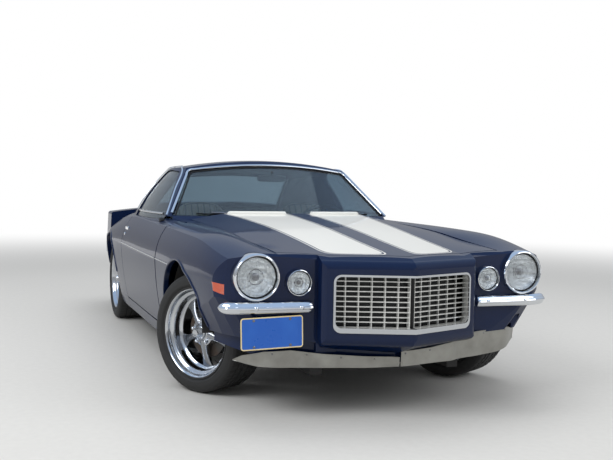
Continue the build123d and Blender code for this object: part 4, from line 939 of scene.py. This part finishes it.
class CAR_OT_chin(bpy.types.Operator):
    """Chin spoiler of bent sheet in two lengths, and the navy pan that closes the valance above it"""

    bl_idname = "car.chin"
    bl_label = "Chin spoiler"

    def execute(self, context):
        plan = spline([(1.957, -0.786), (2.078, -0.655), (2.150, -0.420), (2.205, -0.205), (2.222, 0.0),
                       (2.205, 0.205), (2.150, 0.420), (2.078, 0.655), (1.962, 0.786)], 241)
        right = plan[(plan[:, 1] < -0.0045) & (plan[:, 1] > -0.777)]
        left = plan[plan[:, 1] > -0.0035]
        # heights of each sheet's lower and upper edge at places across the car
        right_low = np.interp(right[:, 1], (-0.779, -0.730, -0.680, -0.579, 0.0),
                              (0.274, 0.264, 0.256, 0.255, 0.253))
        right_high = np.interp(right[:, 1], (-0.779, -0.737, -0.652, -0.535, -0.382, -0.214, -0.057, 0.0),
                               (0.276, 0.303, 0.331, 0.340, 0.322, 0.312, 0.304, 0.299))
        left_low = np.interp(left[:, 1], (0.0, 0.165, 0.457, 0.615, 0.700, 0.786),
                             (0.253, 0.259, 0.269, 0.276, 0.292, 0.318))
        left_high = np.interp(left[:, 1], (0.0, 0.163, 0.285, 0.364, 0.451, 0.640, 0.730, 0.786),
                              (0.329, 0.338, 0.359, 0.387, 0.397, 0.401, 0.398, 0.392))
        # bent by hand: a kink where the sheet was folded round the corner, and waves along it
        left = left + np.stack([0.010 * np.exp(-((left[:, 1] - 0.285) / 0.035) ** 2)
                                - 0.006 * np.exp(-((left[:, 1] - 0.62) / 0.03) ** 2)
                                + 0.003 * np.sin(left[:, 1] * 31), 0 * left[:, 1]], 1)
        right = right + np.stack([0.002 * np.sin(right[:, 1] * 27), 0 * right[:, 1]], 1)
        sheets = join(wall(right, right_low, right_high, SHEET_T, lean=CHIN_LEAN),
                      wall(left, left_low, left_high, SHEET_T, lean=CHIN_LEAN))
        piece("chin_sheets", sheets, "rolled_sheet_aluminium", stands_for="chin_spoiler", sharp=22)
        rivet = lathe([(0, 0.0036), (0.0024, 0.0030), (0.0042, 0.0012), (0.0046, 0), (0, 0)], 14, "x")
        rivets = []
        for y in (-0.62, -0.46, -0.30, -0.14, 0.02, 0.16, 0.34, 0.50, 0.66):
            near = int(np.argmin(np.abs(plan[:, 1] - y)))
            sheet, low, high = (left, left_low, left_high) if y > 0 else (right, right_low, right_high)
            k = int(np.argmin(np.abs(sheet[:, 1] - y)))
            slope = math.degrees(math.atan2(plan[near + 1, 0] - plan[near - 1, 0],
                                            plan[near + 1, 1] - plan[near - 1, 1]))
            z = high[k] - 0.013
            rivets.append(turned(rivet, "Z", -slope, move=(sheet[k, 0] + CHIN_LEAN * (z - low[k]), y, z)))
        piece("chin_rivets", join(*rivets), "tarnished_steel", stands_for="chin_spoiler")
        # the pan stands behind the sheets and runs on to the wheel openings
        inside = spline([(1.800, -0.826), (1.880, -0.795), (1.945, -0.762), (2.048, -0.634), (2.118, -0.410),
                         (2.172, -0.2), (2.190, 0.0), (2.172, 0.2), (2.118, 0.410), (2.048, 0.634),
                         (1.945, 0.762), (1.880, 0.795), (1.800, 0.826)], 161)
        off = np.abs(inside[:, 1])
        top = np.interp(off, (0.0, 0.30, 0.385, 0.42, 0.46, 0.83), (0.334, 0.340, 0.352, 0.386, 0.402, 0.406))
        low = np.interp(off, (0.0, 0.50, 0.66, 0.83), (0.268, 0.274, 0.300, 0.346))
        piece("valance_pan", wall(inside, low, top, SHEET_T), "navy_enamel", sharp=22)
        return {"FINISHED"}


class CAR_OT_plates(bpy.types.Operator):
    """Blank enamelled plates, front and rear, with raised rims and bolts"""

    bl_idname = "car.plates"
    bl_label = "Plates"

    def plate(self, x, way):
        """Rim, field and bolts of a plate round the x axis, its face towards way."""
        def loop(width, height, radius, out):
            outline = rounded(width, height, radius)
            return np.column_stack([np.full(len(outline), x + way * out), outline])
        rim = surface(np.stack([loop(PLATE_WIDTH - 2 * inset, PLATE_HEIGHT - 2 * inset,
                                     PLATE_CORNER - inset, out)
                                for inset, out in ((0.0, 0.0), (0.0, 0.0022), (0.0012, 0.0034),
                                                   (0.0044, 0.0034), (0.0056, 0.0022), (0.0056, 0.0))]),
                      wrap_u=True, wrap_v=True)
        field = stack([loop(0.2945, 0.1415, 0.0085, out) for out in (0.0005, 0.0022)])
        bolt = lathe([(0, 0.0062), (0.0038, 0.0056), (0.0062, 0.0040), (0.0066, 0.0024), (0.0066, 0.0010),
                      (0, 0.0010)], 16, "x")
        bolts = join(*[moved(bolt, (x, y, z), flip=(way, 1, 1))
                       for y in (-0.089, 0.089) for z in (-0.062, 0.062)])
        return rim, field, bolts

    def execute(self, context):
        # which plate, its back's x, which way it faces, its middle and its tilt
        for name, x, way, y, z, tilt in (("front", 2.1640, 1, -0.640, 0.433, 1.5),
                                         ("rear", -2.4040, -1, 0.0, 0.640, 0.0)):
            node = "front_plate" if name == "front" else None
            looks = (("rim", "plate_cream_enamel"), ("field", "plate_blue_enamel"),
                     ("bolts", "tarnished_steel"))
            for (part, look), shape in zip(looks, self.plate(x, way)):
                piece(f"plate_{part}_{name}", turned(shape, "X", tilt, move=(0, y, z)), look, stands_for=node)
            if node:
                arms = join(*[bar_x(2.085, x, y + off, 0.480, 0.020, 0.012, 0.003)
                              for off in (-0.085, 0.085)])
                piece("plate_arms", arms, "chassis_enamel", stands_for=node)
        return {"FINISHED"}


class CAR_OT_grille_shade_sheet(bpy.types.Operator):
    """A black sheet behind the lattice: painted shade, so that the grille reads as deep and dark"""

    bl_idname = "car.grille_back"
    bl_label = "Grille painted shade sheet"

    def execute(self, context):
        y = np.linspace(-0.350, 0.350, 57)
        path = np.stack([NOSE_X - 0.082 - V_SLOPE * np.sqrt(y * y + 0.0004), y], 1)
        # a black sheet standing in for the shade inside the grille: painted shade
        piece("grille_painted_shade_sheet", wall(path, 0.446, 0.702, SHEET_T), "bucket_black")
        return {"FINISHED"}


class CAR_OT_mouldings(bpy.types.Operator):
    """Bright mouldings round the glass, drip rails over the doors and trims along the belt"""

    bl_idname = "car.mouldings"
    bl_label = "Mouldings"

    def moulding(self, width, rise):
        """A pressed moulding's section."""
        return crowned(width / 2, rise, shares=FLAT_STRIP)

    def execute(self, context):
        width = settings().trim_width
        # the windshield's outline as the nose sees it: up one pillar, over the top, down the other
        top = arc((0.528, 1.201), (0, 1.2385), (-0.528, 1.201), 60)
        corner = arc((0.5865, 1.1665), (0.5700, 1.1895), (0.530, 1.2005), 9)
        pillar = line((0.7440, 0.9120), (0.5870, 1.1640), 26)
        outline = np.concatenate([pillar, corner, top, (corner * (-1, 1))[::-1], (pillar * (-1, 1))[::-1]])
        chrome = {"finish_name": "chrome_plate", "sharp": 45}
        piece("windshield_moulding",
              laid("windshield", outline, 0, FAR, self.moulding(width, 0.007), 0.0085), **chrome)
        # the inner black edge of the windshield's rubber
        inner = outline * (0.979, 1) - (0, 0.009)
        piece("windshield_rubber",
              laid("windshield", inner, 0, FAR, self.moulding(0.010, 0.003), 0.0006), "seal_rubber", sharp=45)
        # the rear window's in plan, whose rear edge is two straight lines
        rear = np.concatenate([line((-0.909, -0.444), (-0.909, 0.444), 40),
                               line((-0.913, 0.448), (-1.441, 0.5325), 30),
                               line((-1.4465, 0.529), (-1.4840, 0), 30),
                               line((-1.4840, -0.01), (-1.4465, -0.529), 30),
                               line((-1.441, -0.5325), (-0.913, -0.448), 30)])
        piece("rear_window_moulding", laid("rear_window", rear, 2, FAR, self.moulding(width * 0.8, 0.005),
                                           0.0075, closed=True), **chrome)
        # the drip rail from the cowl over the door to the belt, as seen from the side
        over = spline([(0.300, 0.902), (0.276, 0.922), (0.10, 1.066), (-0.078, 1.2085), (-0.11, 1.2175),
                       (-0.280, 1.2215), (-0.430, 1.2150), (-0.512, 1.190), (-0.556, 1.135),
                       (-0.575, 1.060), (-0.588, 0.975), (-0.600, 0.915)], 110)
        rail = laid("body_shell", over, 1, FAR, self.moulding(0.011, 0.009), 0.001)
        piece("drip_rails", pair(rail), **chrome)
        belt = np.column_stack([np.linspace(-0.50, 0.20, 40), np.full(40, 0.9085)])
        for side, way in SIDES.items():
            sill = laid(f"door_glass_{side}", belt, 1, way * FAR, self.moulding(0.013, 0.006), 0.004)
            piece(f"belt_trim_{side}", sill, body=f"door_{side}", **chrome)
        return {"FINISHED"}


class CAR_OT_seats(bpy.types.Operator):
    """Bucket seats and rear bench in pleated woven cloth"""

    bl_idname = "car.seats"
    bl_label = "Seats"

    def pad(self, size, face, power=0.42, taper=0.0, count=(64, 168)):
        """A crowned pad round its own middle.  Upwards its width shrinks by taper, and on the side
        that face names sewn channels run along it, one pleat pitch apart, short of its edges."""
        points, faces = egg(size, power, count)
        size = np.asarray(size)
        up = np.clip(points[:, 2] / size[2] + 0.5, 0, 1)
        points[:, 1] *= 1 - taper * up ** 3
        # channels lie where the cosine across the pad is near nothing, with smooth sides
        swing = np.abs(np.cos(np.pi * points[:, 1] / settings().pleat_pitch))
        channel = np.clip(swing / 0.45, 0, 1)
        channel = 1 - channel * channel * (3 - 2 * channel)
        reach = np.abs(points) / (size / 2)
        long_way = reach[:, 2 if face == 0 else 0]
        inside = np.clip((0.80 - reach[:, 1] / (1 - taper * up ** 3)) * 12, 0, 1)
        inside = inside * np.clip((0.93 - long_way) * 9, 0, 1)
        crowned = 1 if face == 0 else 0
        outward = points[:, face] > 0
        points[:, face] -= settings().pleat_depth * channel * inside * outward
        points[:, face] += 0.004 * (1 - channel) * inside * outward * crowned
        return points, faces

    def welt(self, size, face, power=0.42, taper=0.0):
        """The piping sewn round the pleated panel: a 6 mm cord on the pad's own surface."""
        count = 140
        turn = np.arange(count) * 2 * np.pi / count
        a, b = [np.sign(f) * np.abs(f) ** power for f in (np.cos(turn), np.sin(turn))]
        size = np.asarray(size)
        half = size / 2
        across, run = a * half[1] * 0.84, b * (half[2] if face == 0 else half[0]) * 0.955
        height = np.full(count, 0.74 * half[face])
        cord = rounded(0.006, 0.006, 0.0029, 3)
        if face == 0:
            across = across * (1 - taper * np.clip(run / size[2] + 0.5, 0, 1) ** 3)
            return along(np.stack([height, across, run], 1), cord, up=(1, 0, 0.001), closed=True)
        return along(np.stack([run, across, height], 1), cord, closed=True)

    def execute(self, context):
        # name, size, the axis that the pleats face, taper, tilt, place and how tight the pad is
        sizes = (("cushion", (0.470, 0.500, 0.135), 2, 0.0, -6, (0.0, SEAT_Y, 0.366), 0.7),
                 ("back", (0.120, 0.480, 0.640), 0, 0.30, -22, (-0.300, SEAT_Y, 0.660), 0.7))
        cloth = {"finish_name": "woven_seat_cloth", "sharp": 70}
        for name, size, face, taper, tilt, place, fill in sizes:
            pads = turned(self.pad(size, face, taper=taper), "Y", tilt, move=place)
            welts = turned(self.welt(size, face, taper=taper), "Y", tilt, move=place)
            for side in SIDES:
                pad, welt = (pads, welts) if side == "left" else (mirrored(pads), mirrored(welts))
                piece(f"seat_{name}_{side}", pad, stands_for="front_seats", **cloth)
                piece(f"seat_welt_{name}_{side}", welt, "black_vinyl", stands_for="front_seats", sharp=60)
        rails = join(*[bar_x(-0.18, 0.18, y, 0.279, 0.030, 0.064) for y in (0.246, 0.554)])
        piece("seat_rails", pair(rails), "chassis_enamel", stands_for="front_seats")
        bench = turned(self.pad((0.400, 0.530, 0.180), 2, power=0.34), "Y", -3, move=(-0.830, 0.275, 0.362))
        rest = turned(self.pad((0.130, 0.530, 0.440), 0, power=0.36), "Y", -13, move=(-1.040, 0.275, 0.616))
        for name, pad in (("rear_cushion", bench), ("rear_rest", rest)):
            for side in SIDES:
                made = piece(f"{name}_{side}", pad if side == "left" else mirrored(pad),
                             stands_for="rear_seat", **cloth)
        return {"FINISHED"}


class CAR_OT_cabin(bpy.types.Operator):
    """Steering wheel, dials, shift lever with its console, and inside mirror"""

    bl_idname = "car.cabin"
    bl_label = "Cabin"

    def execute(self, context):
        turn = np.arange(144) * 2 * np.pi / 144
        grips = 0.0125 + 0.0008 * np.cos(turn * 36)
        rim = along(np.insert(circle(0.180, 144), 2, 0, axis=1), circle(1), closed=True, scale=grips)
        pad = lathe([(0, 0.026), (0.020, 0.0255), (0.040, 0.022), (0.050, 0.012), (0.052, -0.004),
                     (0.034, -0.020), (0.022, -0.030), (0.022, -0.250), (0, -0.250)], 48, "z")
        arms = []
        for angle in (0, 120, 240):
            loops = []
            for k, at in enumerate(np.linspace(0.040, 0.178, 12)):
                half = 0.018 - 0.004 * math.sin(math.pi * k / 11)
                dish = 0.012 - 0.012 * ((at - 0.04) / 0.138) ** 2
                loops.append(np.array([(at, -half, dish - 0.002), (at, half, dish - 0.002),
                                       (at, half * 0.96, dish + 0.0015), (at, -half * 0.96, dish + 0.0015)]))
            arms.append(turned(stack(loops), "Z", angle))
        place = dict(axis="Y", degrees=-66, move=(0.060, 0.380, 0.800))
        for name, shape, look in (("rim", rim, "black_vinyl"), ("pad", pad, "black_vinyl"),
                                  ("arms", join(*arms), "tarnished_steel")):
            piece(f"steering_{name}", turned(shape, **place), look, stands_for="steering_wheel", sharp=40)
        bezel = [(0.046, 0), (0.050, -0.004), (0.052, 0.010), (0.046, 0.012), (0.044, 0.006)]
        dials, faces = [], []
        for y in (0.500, 0.380, 0.260):
            dials.append(lathe([(r, 0.186 - a) for r, a in bezel], 40, "x", (0, y, 0.745)))
            faces.append(lathe([(0, 0.184), (0.046, 0.184), (0.046, 0.190), (0, 0.190)], 40, "x",
                               (0, y, 0.745)))
        piece("dial_bezels", join(*dials), "chrome_plate")
        piece("dial_faces", join(*faces), "bucket_black")
        lever = along(spline([(0.060, 0, 0.405), (0.040, 0, 0.470), (-0.010, 0, 0.560),
                              (-0.040, 0, 0.620)], 24), circle(0.007), up=(0, 1, 0))
        piece("shift_lever", lever, "chrome_plate")
        for name, size, power, count, at in (
                ("shift_knob", (0.044, 0.044, 0.048), 1.0, (16, 24), (-0.043, 0, 0.632)),
                ("shift_console", (0.46, 0.20, 0.050), 0.3, (24, 48), (0.02, 0, 0.405)),
                ("inside_mirror", (0.022, 0.210, 0.050), 0.5, (20, 40), (0.085, 0, 1.152))):
            piece(name, moved(egg(size, power, count), at), "black_vinyl")
        stem = along(spline([(0.088, 0, 1.165), (0.094, 0, 1.184), (0.088, 0, 1.204)], 12), circle(0.005),
                     up=(0, 1, 0))
        piece("mirror_stem", stem, "black_vinyl")
        return {"FINISHED"}


class CAR_OT_body_trim(bpy.types.Operator):
    """Raised bands behind the hood, wipers, handles, arch lips, side mouldings and a mirror's foot"""

    bl_idname = "car.body_trim"
    bl_label = "Body trim"

    def bands(self):
        """Bands on the hood's rear edge, sprayed white like the stripes they end; in plan the edge
        is a parabola."""
        y = np.linspace(0.080, 0.450, 40)
        x = 0.672 - 0.185 * (y / 0.66) ** 2
        swell = np.clip(np.minimum((y - 0.078) / 0.010, (0.452 - y) / 0.014), 0.15, 1)
        shape = laid("hood", np.stack([x, y], 1), 2, ABOVE_HOOD, crowned(0.018, 0.016), scale=swell)
        piece("hood_rear_bands", pair(shape), "stripe_enamel", "hood", sharp=50)

    def wipers(self):
        """Blades at rest on the glass, each with an arm on a curve through three lifted points."""
        for name, ends in (("right", ((-0.600, 0.914), (-0.080, 0.908))),
                           ("left", ((0.020, 0.908), (0.600, 0.914)))):
            places, normals = landed("windshield", line(*ends, 24), 0, FAR)
            blade = along(places + normals * 0.006, crowned(0.003, 0.005, -0.004), up=normals)
            piece(f"wiper_blade_{name}", blade, "seal_rubber")
            arm = spline(places[[4, 12, 20]] + normals[[4, 12, 20]] * 0.018, 20)
            piece(f"wiper_arm_{name}", along(arm, crowned(0.005, 0.004, -0.002), up=(1, 0, 1)),
                  "tarnished_steel")

    def arches(self):
        """Rolled lips round the wheel openings: arcs about the axles, of which the front one runs on
        down behind the marker lamp."""
        gap = 0.007
        turn = np.radians(np.linspace(168, 64, 30))
        radius = ARCH_R + gap
        arch = np.stack([FRONT_AXLE_X + radius * np.cos(turn), TYRE_R + radius * np.sin(turn)], 1)
        front = spline([*arch, (1.644, 0.637), (1.704, 0.605), (1.751, 0.577), (1.780, 0.544),
                        (1.790, 0.502), (1.794, 0.456), (1.798, 0.412)], 90)
        turn = np.radians(np.linspace(14, 166, 90))
        radius = REAR_ARCH_R + gap
        rear = np.stack([REAR_AXLE_X + radius * np.cos(turn), TYRE_R + radius * np.sin(turn)], 1)
        for end, node, edge in (("front", "fender_left", front), ("rear", "body_shell", rear)):
            lip = laid(node, edge, 1, BESIDE, crowned(0.0065, 0.006))
            piece(f"arch_lips_{end}", pair(lip), "navy_enamel", sharp=50)

    def side(self, side, way):
        """Mouldings, handle and lock of one side."""
        door, far = f"door_{side}", way * BESIDE
        for node, body, x0, x1 in ((door, door, -0.552, 0.782), (f"fender_{side}", "car_body", 0.806, 1.196)):
            row = np.column_stack([np.linspace(x0, x1, 60), np.full(60, 0.668)])
            bead = laid(node, row, 1, far, crowned(0.0035, 0.005))
            piece(f"side_moulding_{node}_{side}", bead, "chrome_plate", body, sharp=50)
        spot, normal = landed(door, [(-0.455, 0.778)], 1, far)
        flap = moved(egg((0.118, 0.012, 0.026), 0.4, (20, 40)), spot[0])
        piece(f"door_handle_{side}", moved(flap, normal[0] * 0.003), "chrome_plate", door)
        lock = lathe([(0, 0.004), (0.009, 0.0035), (0.012, 0.001), (0.012, -0.004), (0, -0.004)], 24, "y")
        spot, _ = landed(door, [(-0.490, 0.735)], 1, far)
        piece(f"door_lock_{side}", moved(lock, spot[0], flip=(1, way, 1)), "chrome_plate", door)

    def execute(self, context):
        self.bands()
        self.wipers()
        self.arches()
        for side, way in SIDES.items():
            self.side(side, way)
        # the black foot that is left of the right door's mirror
        spot, _ = landed("door_right", [(0.380, 0.868)], 1, -BESIDE)
        foot = moved(moved(egg((0.056, 0.034, 0.034), 0.7, (20, 32)), spot[0]), (0, 0.004, 0.008))
        piece("mirror_foot", foot, "bucket_black", "door_right")
        return {"FINISHED"}


class CAR_OT_tail(bpy.types.Operator):
    """Tail-lamp rings and lenses, trunk lock and exhaust tips"""

    bl_idname = "car.tail"
    bl_label = "Tail"

    def execute(self, context):
        rings, lenses = [], []
        outer = TAIL_LAMP_R
        for y, z in TAIL_LAMPS:
            spot, _ = landed("tail_lamps body_shell", [(y, z)], 0, BEHIND)
            face = spot[0][0]
            rings.append(lathe([(outer + 0.010, face + 0.010), (outer + 0.011, face - 0.003),
                                (outer + 0.007, face - 0.009), (outer - 0.001, face - 0.010),
                                (outer - 0.005, face - 0.004), (outer - 0.005, face + 0.010)],
                               72, "x", (0, y, z)))
            lenses.append(lathe([(0, face - 0.012), (0.014, face - 0.0115), (0.016, face - 0.007),
                                 (0.030, face - 0.0085), (0.044, face - 0.008), (0.056, face - 0.0045),
                                 (outer - 0.004, face + 0.001), (outer - 0.004, face + 0.008),
                                 (0, face + 0.008)], 72, "x", (0, y, z)))
        piece("tail_lamp_rings", pair(join(*rings)), "chrome_plate")
        piece("tail_lamp_lenses", pair(join(*lenses)), "red_acrylic", stands_for="tail_lamps")
        tips = [lathe([(0.0275, -2.270), (0.0330, -2.300), (0.0345, -2.404), (0.0330, -2.4085),
                       (0.0312, -2.404), (0.0300, -2.300), (0.0245, -2.272)], 48, "x", (0, y, 0.182))
                for y in (0.400, -0.400)]
        piece("exhaust_tips", join(*tips), "chrome_plate")
        lock = lathe([(0, -0.007), (0.012, -0.006), (0.017, -0.002), (0.018, 0.004), (0, 0.004)], 32, "x")
        spot, _ = landed("trunk_lid body_shell", [(0.0, 0.735)], 0, BEHIND)
        piece("trunk_lock", moved(lock, spot[0]), "chrome_plate")
        return {"FINISHED"}


class CAR_OT_engine_bay(bpy.types.Operator):
    """Air cleaner, valve covers, fan, wheelhouse liners, radiator tubes and hose, seen with the hood up"""

    bl_idname = "car.engine_bay"
    bl_label = "Engine bay"

    def execute(self, context):
        cleaner = (1.270, 0, 0)
        lid = [(0, 0.788), (0.006, 0.788), (0.010, 0.782), (0.014, 0.776), (0.060, 0.777), (0.120, 0.772),
               (0.168, 0.769), (0.175, 0.765), (0.176, 0.760), (0.170, 0.758), (0, 0.758)]
        piece("air_cleaner_lid", lathe(lid, 96, "z", cleaner), "chrome_plate")
        turn = np.arange(480) * 2 * np.pi / 480
        # 120 folds of the paper, about 8 mm apart
        folds = 0.156 + 0.004 * np.cos(turn * 120)
        walls = np.stack([np.stack([cleaner[0] + folds * np.cos(turn), folds * np.sin(turn),
                                    np.full(480, z)], 1) for z in (0.705, 0.760)])
        piece("air_filter", surface(walls, wrap_v=True, caps=True), "filter_paper", sharp=10)
        base = [(0, 0.694), (0.170, 0.694), (0.176, 0.698), (0.176, 0.706), (0, 0.706)]
        piece("air_cleaner_base", lathe(base, 96, "z", cleaner), "chrome_plate")
        bank = dict(axis="X", degrees=-38, move=(1.275, 0.268, 0.668))
        cover = turned(egg((0.500, 0.130, 0.070), 0.36, (28, 60)), **bank)
        fins = join(*[bar_x(1.06, 1.49, off, 0.036, 0.006, 0.010, 0.0015)
                      for off in (-0.040, -0.020, 0.0, 0.020, 0.040)])
        fins = turned(moved(fins, (-bank["move"][0], 0, 0)), **bank)
        piece("valve_covers", pair(join(cover, fins)), "polished_cover_alloy")
        axle_z = 0.560
        fan = [lathe([(0, 1.700), (0.050, 1.700), (0.052, 1.690), (0.052, 1.640), (0.036, 1.630),
                      (0.030, 1.560), (0, 1.560)], 40, "x", (0, 0, axle_z))]
        # blades of thin plate that widen outwards and lean across their width
        for angle in range(0, 360, 60):
            corners = [(x + 0.020 * s, (0.030 + 0.10 * at) * s, at) for at in np.linspace(0.040, 0.215, 10)
                       for s in (-1, 1) for x in (1.668, 1.670)]
            blade = np.array(corners).reshape(10, 4, 3)[:, [0, 1, 3, 2]]
            fan.append(turned(stack(list(blade)), "X", angle, move=(0, 0, axle_z)))
        piece("fan", join(*fan), "chassis_enamel")
        # pressed liners over the front wheels, clear of the turned tyres and open on their inner side
        turn = np.radians(np.linspace(8, 172, 60))[:, None]
        radius, y = np.array([[0.3905, 0.3930, 0.3930, 0.3905], [0.505, 0.505, 0.878, 0.878]])[:, None]
        liner = surface(np.stack([FRONT_AXLE_X + radius * np.cos(turn), y + 0 * turn,
                                  TYRE_R + radius * np.sin(turn)], -1), wrap_v=True, caps=True)
        piece("wheelhouse_liners", pair(liner), "chassis_enamel")
        tubes = [bar_x(2.0235, 2.0465, y, 0.570, 0.0022, 0.336, 0.0004)
                 for y in np.linspace(-0.322, 0.322, 93)]
        piece("radiator_tubes", join(*tubes), "tarnished_steel")
        hose = spline([(1.540, 0.060, 0.672), (1.640, 0.090, 0.700), (1.780, 0.160, 0.716),
                       (1.930, 0.210, 0.712), (2.030, 0.220, 0.705)], 60)
        piece("radiator_hose", along(hose, circle(0.021)), "seal_rubber")
        return {"FINISHED"}


class CAR_OT_stage(bpy.types.Operator):
    """Pale floor, soft lamps, white surroundings and the photograph's camera"""

    bl_idname = "car.stage"
    bl_label = "Stage"

    def floor(self):
        """A disc of rings.  Near the car it is pale and takes the shadow; from FLOOR_FADE's first
        distance to its second it fades to the white of the surroundings wherever the camera, a
        mirror or a window sees it."""
        def pale(tree):
            grain = add(tree, "TexNoise", Vector=here(tree), Scale=25.0, Detail=4.0)
            return {"Base_Color": add(tree, "Mix", {"data_type": "RGBA"}, i0=grain, i6="#cfcfcd",
                                      i7="#d8d8d6").outputs[2]}
        made = finish("pale_floor", pale, Roughness=0.9)
        tree = made.node_tree
        shader = next(node for node in tree.nodes if node.type == "BSDF_PRINCIPLED")
        output = next(node for node in tree.nodes if node.type == "OUTPUT_MATERIAL")
        out = add(tree, "VectorMath", {"operation": "LENGTH"}, i0=here(tree)).outputs["Value"]
        fade = add(tree, "MapRange", {"interpolation_type": "SMOOTHSTEP"}, Value=out, i1=FLOOR_FADE[0],
                   i2=FLOOR_FADE[1])
        seen = add(tree, "Math", {"operation": "MULTIPLY"}, i0=fade, i1=self.seen(tree))
        white = add(tree, "Emission", Color="#ffffff", Strength=1.0)
        mixed = add(tree, "MixShader", i0=seen, i1=shader.outputs[0], i2=white)
        tree.links.new(mixed.outputs[0], output.inputs["Surface"])
        radius = np.array([0.0, 2.0, 4.0, 6.0, 9.0, 14.0, 22.0, 40.0])[:, None]
        turn = (np.arange(96) * 2 * np.pi / 96)[None]
        points = np.stack([radius * np.cos(turn), radius * np.sin(turn), 0 * radius * turn - 0.0005], -1)
        mesh = bpy.data.meshes.new("floor")
        shape = surface(points, wrap_v=True)
        mesh.from_pydata(shape[0].tolist(), [], [face[::-1] for face in shape[1]])
        mesh.materials.append(made)
        floor = bpy.data.objects.new("floor", mesh)
        bpy.context.scene.collection.objects.link(floor)

    def seen(self, tree):
        """One for rays from the camera and for those that a mirror or a window sends on."""
        path = add(tree, "LightPath")
        seen = add(tree, "Math", {"operation": "MAXIMUM"}, i0=path.outputs["Is Camera Ray"],
                   i1=path.outputs["Is Glossy Ray"])
        return add(tree, "Math", {"operation": "MAXIMUM"}, i0=seen, i1=path.outputs["Is Transmission Ray"])

    def surroundings(self):
        """The world: white to the camera and through glass, in mirrors a sky that climbs from grey to
        pale blue, and an even soft light on dull surfaces."""
        world = bpy.data.worlds.new("studio")
        world.use_nodes = True
        tree = world.node_tree
        tree.nodes.clear()
        path = add(tree, "LightPath")
        mirror = path.outputs["Is Glossy Ray"]
        # Incoming points from the sky to the car, so that its z falls as a ray climbs
        fall = add(tree, "SeparateXYZ", Vector=add(tree, "NewGeometry").outputs["Incoming"]).outputs[2]
        climb = add(tree, "MapRange", Value=fall, i1=0.0, i2=-0.7)
        above = add(tree, "MapRange", Value=climb, i3=SKY_MIRRORED[0], i4=SKY_MIRRORED[1])
        level = add(tree, "Mix", i0=mirror, i2=SKY_DIFFUSE, i3=above)
        blue = add(tree, "Math", {"operation": "MULTIPLY"}, i0=climb, i1=mirror)
        colour = add(tree, "Mix", {"data_type": "RGBA"}, i0=blue, i6="#ffffff", i7=SKY_BLUE)
        direct = add(tree, "Math", {"operation": "MAXIMUM"}, i0=path.outputs["Is Camera Ray"],
                     i1=path.outputs["Is Transmission Ray"])
        level = add(tree, "Mix", i0=direct, i2=level.outputs[0], i3=1.0)
        sky = add(tree, "Background", Color=colour.outputs[2], Strength=level.outputs[0])
        add(tree, "OutputWorld", Surface=sky)
        bpy.context.scene.world = world

    def camera(self):
        """The photograph's camera: place, yaw, pitch and roll."""
        ahead = Vector((math.cos(CAMERA_YAW) * math.cos(CAMERA_PITCH),
                        math.sin(CAMERA_YAW) * math.cos(CAMERA_PITCH), -math.sin(CAMERA_PITCH)))
        level_right = ahead.cross(Vector((0, 0, 1))).normalized()
        level_up = level_right.cross(ahead)
        right = math.cos(CAMERA_ROLL) * level_right + math.sin(CAMERA_ROLL) * level_up
        up = -math.sin(CAMERA_ROLL) * level_right + math.cos(CAMERA_ROLL) * level_up
        camera = bpy.data.objects.new("photo_camera", bpy.data.cameras.new("photo_camera"))
        camera.data.lens = CAMERA_LENS_MM
        camera.data.sensor_width = SENSOR_MM
        facing = Matrix((right, up, -ahead)).transposed().to_4x4()
        camera.matrix_world = Matrix.Translation(CAMERA_AT) @ facing
        bpy.context.scene.collection.objects.link(camera)
        bpy.context.scene.camera = camera

    def execute(self, context):
        self.floor()
        self.surroundings()
        for name, where, size, power in LIGHTS:
            lamp = bpy.data.lights.new(name, "AREA")
            lamp.shape = "RECTANGLE"
            lamp.size, lamp.size_y = size
            lamp.energy = power * settings().light
            holder = bpy.data.objects.new(name, lamp)
            holder.location = where
            aim = LIGHTS_AIM - Vector(where)
            holder.rotation_euler = aim.to_track_quat("-Z", "Y").to_euler()
            # the lamp overhead would stand as a hard patch in the windshield
            holder.visible_glossy = name != "top"
            context.scene.collection.objects.link(holder)
        context.scene.view_settings.view_transform = "Standard"
        self.camera()
        return {"FINISHED"}


class CAR_PT_panel(bpy.types.Panel):
    """The car's settings and the operators that build it, in order"""

    bl_label = "Muscle car"
    bl_idname = "CAR_PT_panel"
    bl_space_type = "VIEW_3D"
    bl_region_type = "UI"
    bl_category = "Muscle car"

    def draw(self, context):
        for name in CarSettings.__annotations__:
            self.layout.prop(settings(), name)
        for operator in OPERATORS:
            self.layout.operator(operator.bl_idname)


OPERATORS = (CAR_OT_finishes, CAR_OT_tyres, CAR_OT_wheels, CAR_OT_lamps, CAR_OT_bumpers, CAR_OT_chin,
             CAR_OT_plates, CAR_OT_grille_shade_sheet, CAR_OT_mouldings, CAR_OT_seats, CAR_OT_cabin,
             CAR_OT_body_trim, CAR_OT_tail, CAR_OT_engine_bay, CAR_OT_stage)


def register():
    """Registers the settings, the operators and the panel."""
    for kind in (CarSettings, *OPERATORS, CAR_PT_panel):
        bpy.utils.register_class(kind)
    bpy.types.Scene.muscle_car = bpy.props.PointerProperty(type=CarSettings)


def unregister():
    """Takes back what register does."""
    del bpy.types.Scene.muscle_car
    for kind in (CAR_PT_panel, *reversed(OPERATORS), CarSettings):
        bpy.utils.unregister_class(kind)


def main():
    """Registers the settings, the operators and the panel, then builds the whole car with each operator in
    turn.
    """
    register()
    for operator in OPERATORS:
        group, name = operator.bl_idname.split(".")
        getattr(getattr(bpy.ops, group), name)()


if __name__ == "__main__":
    main()
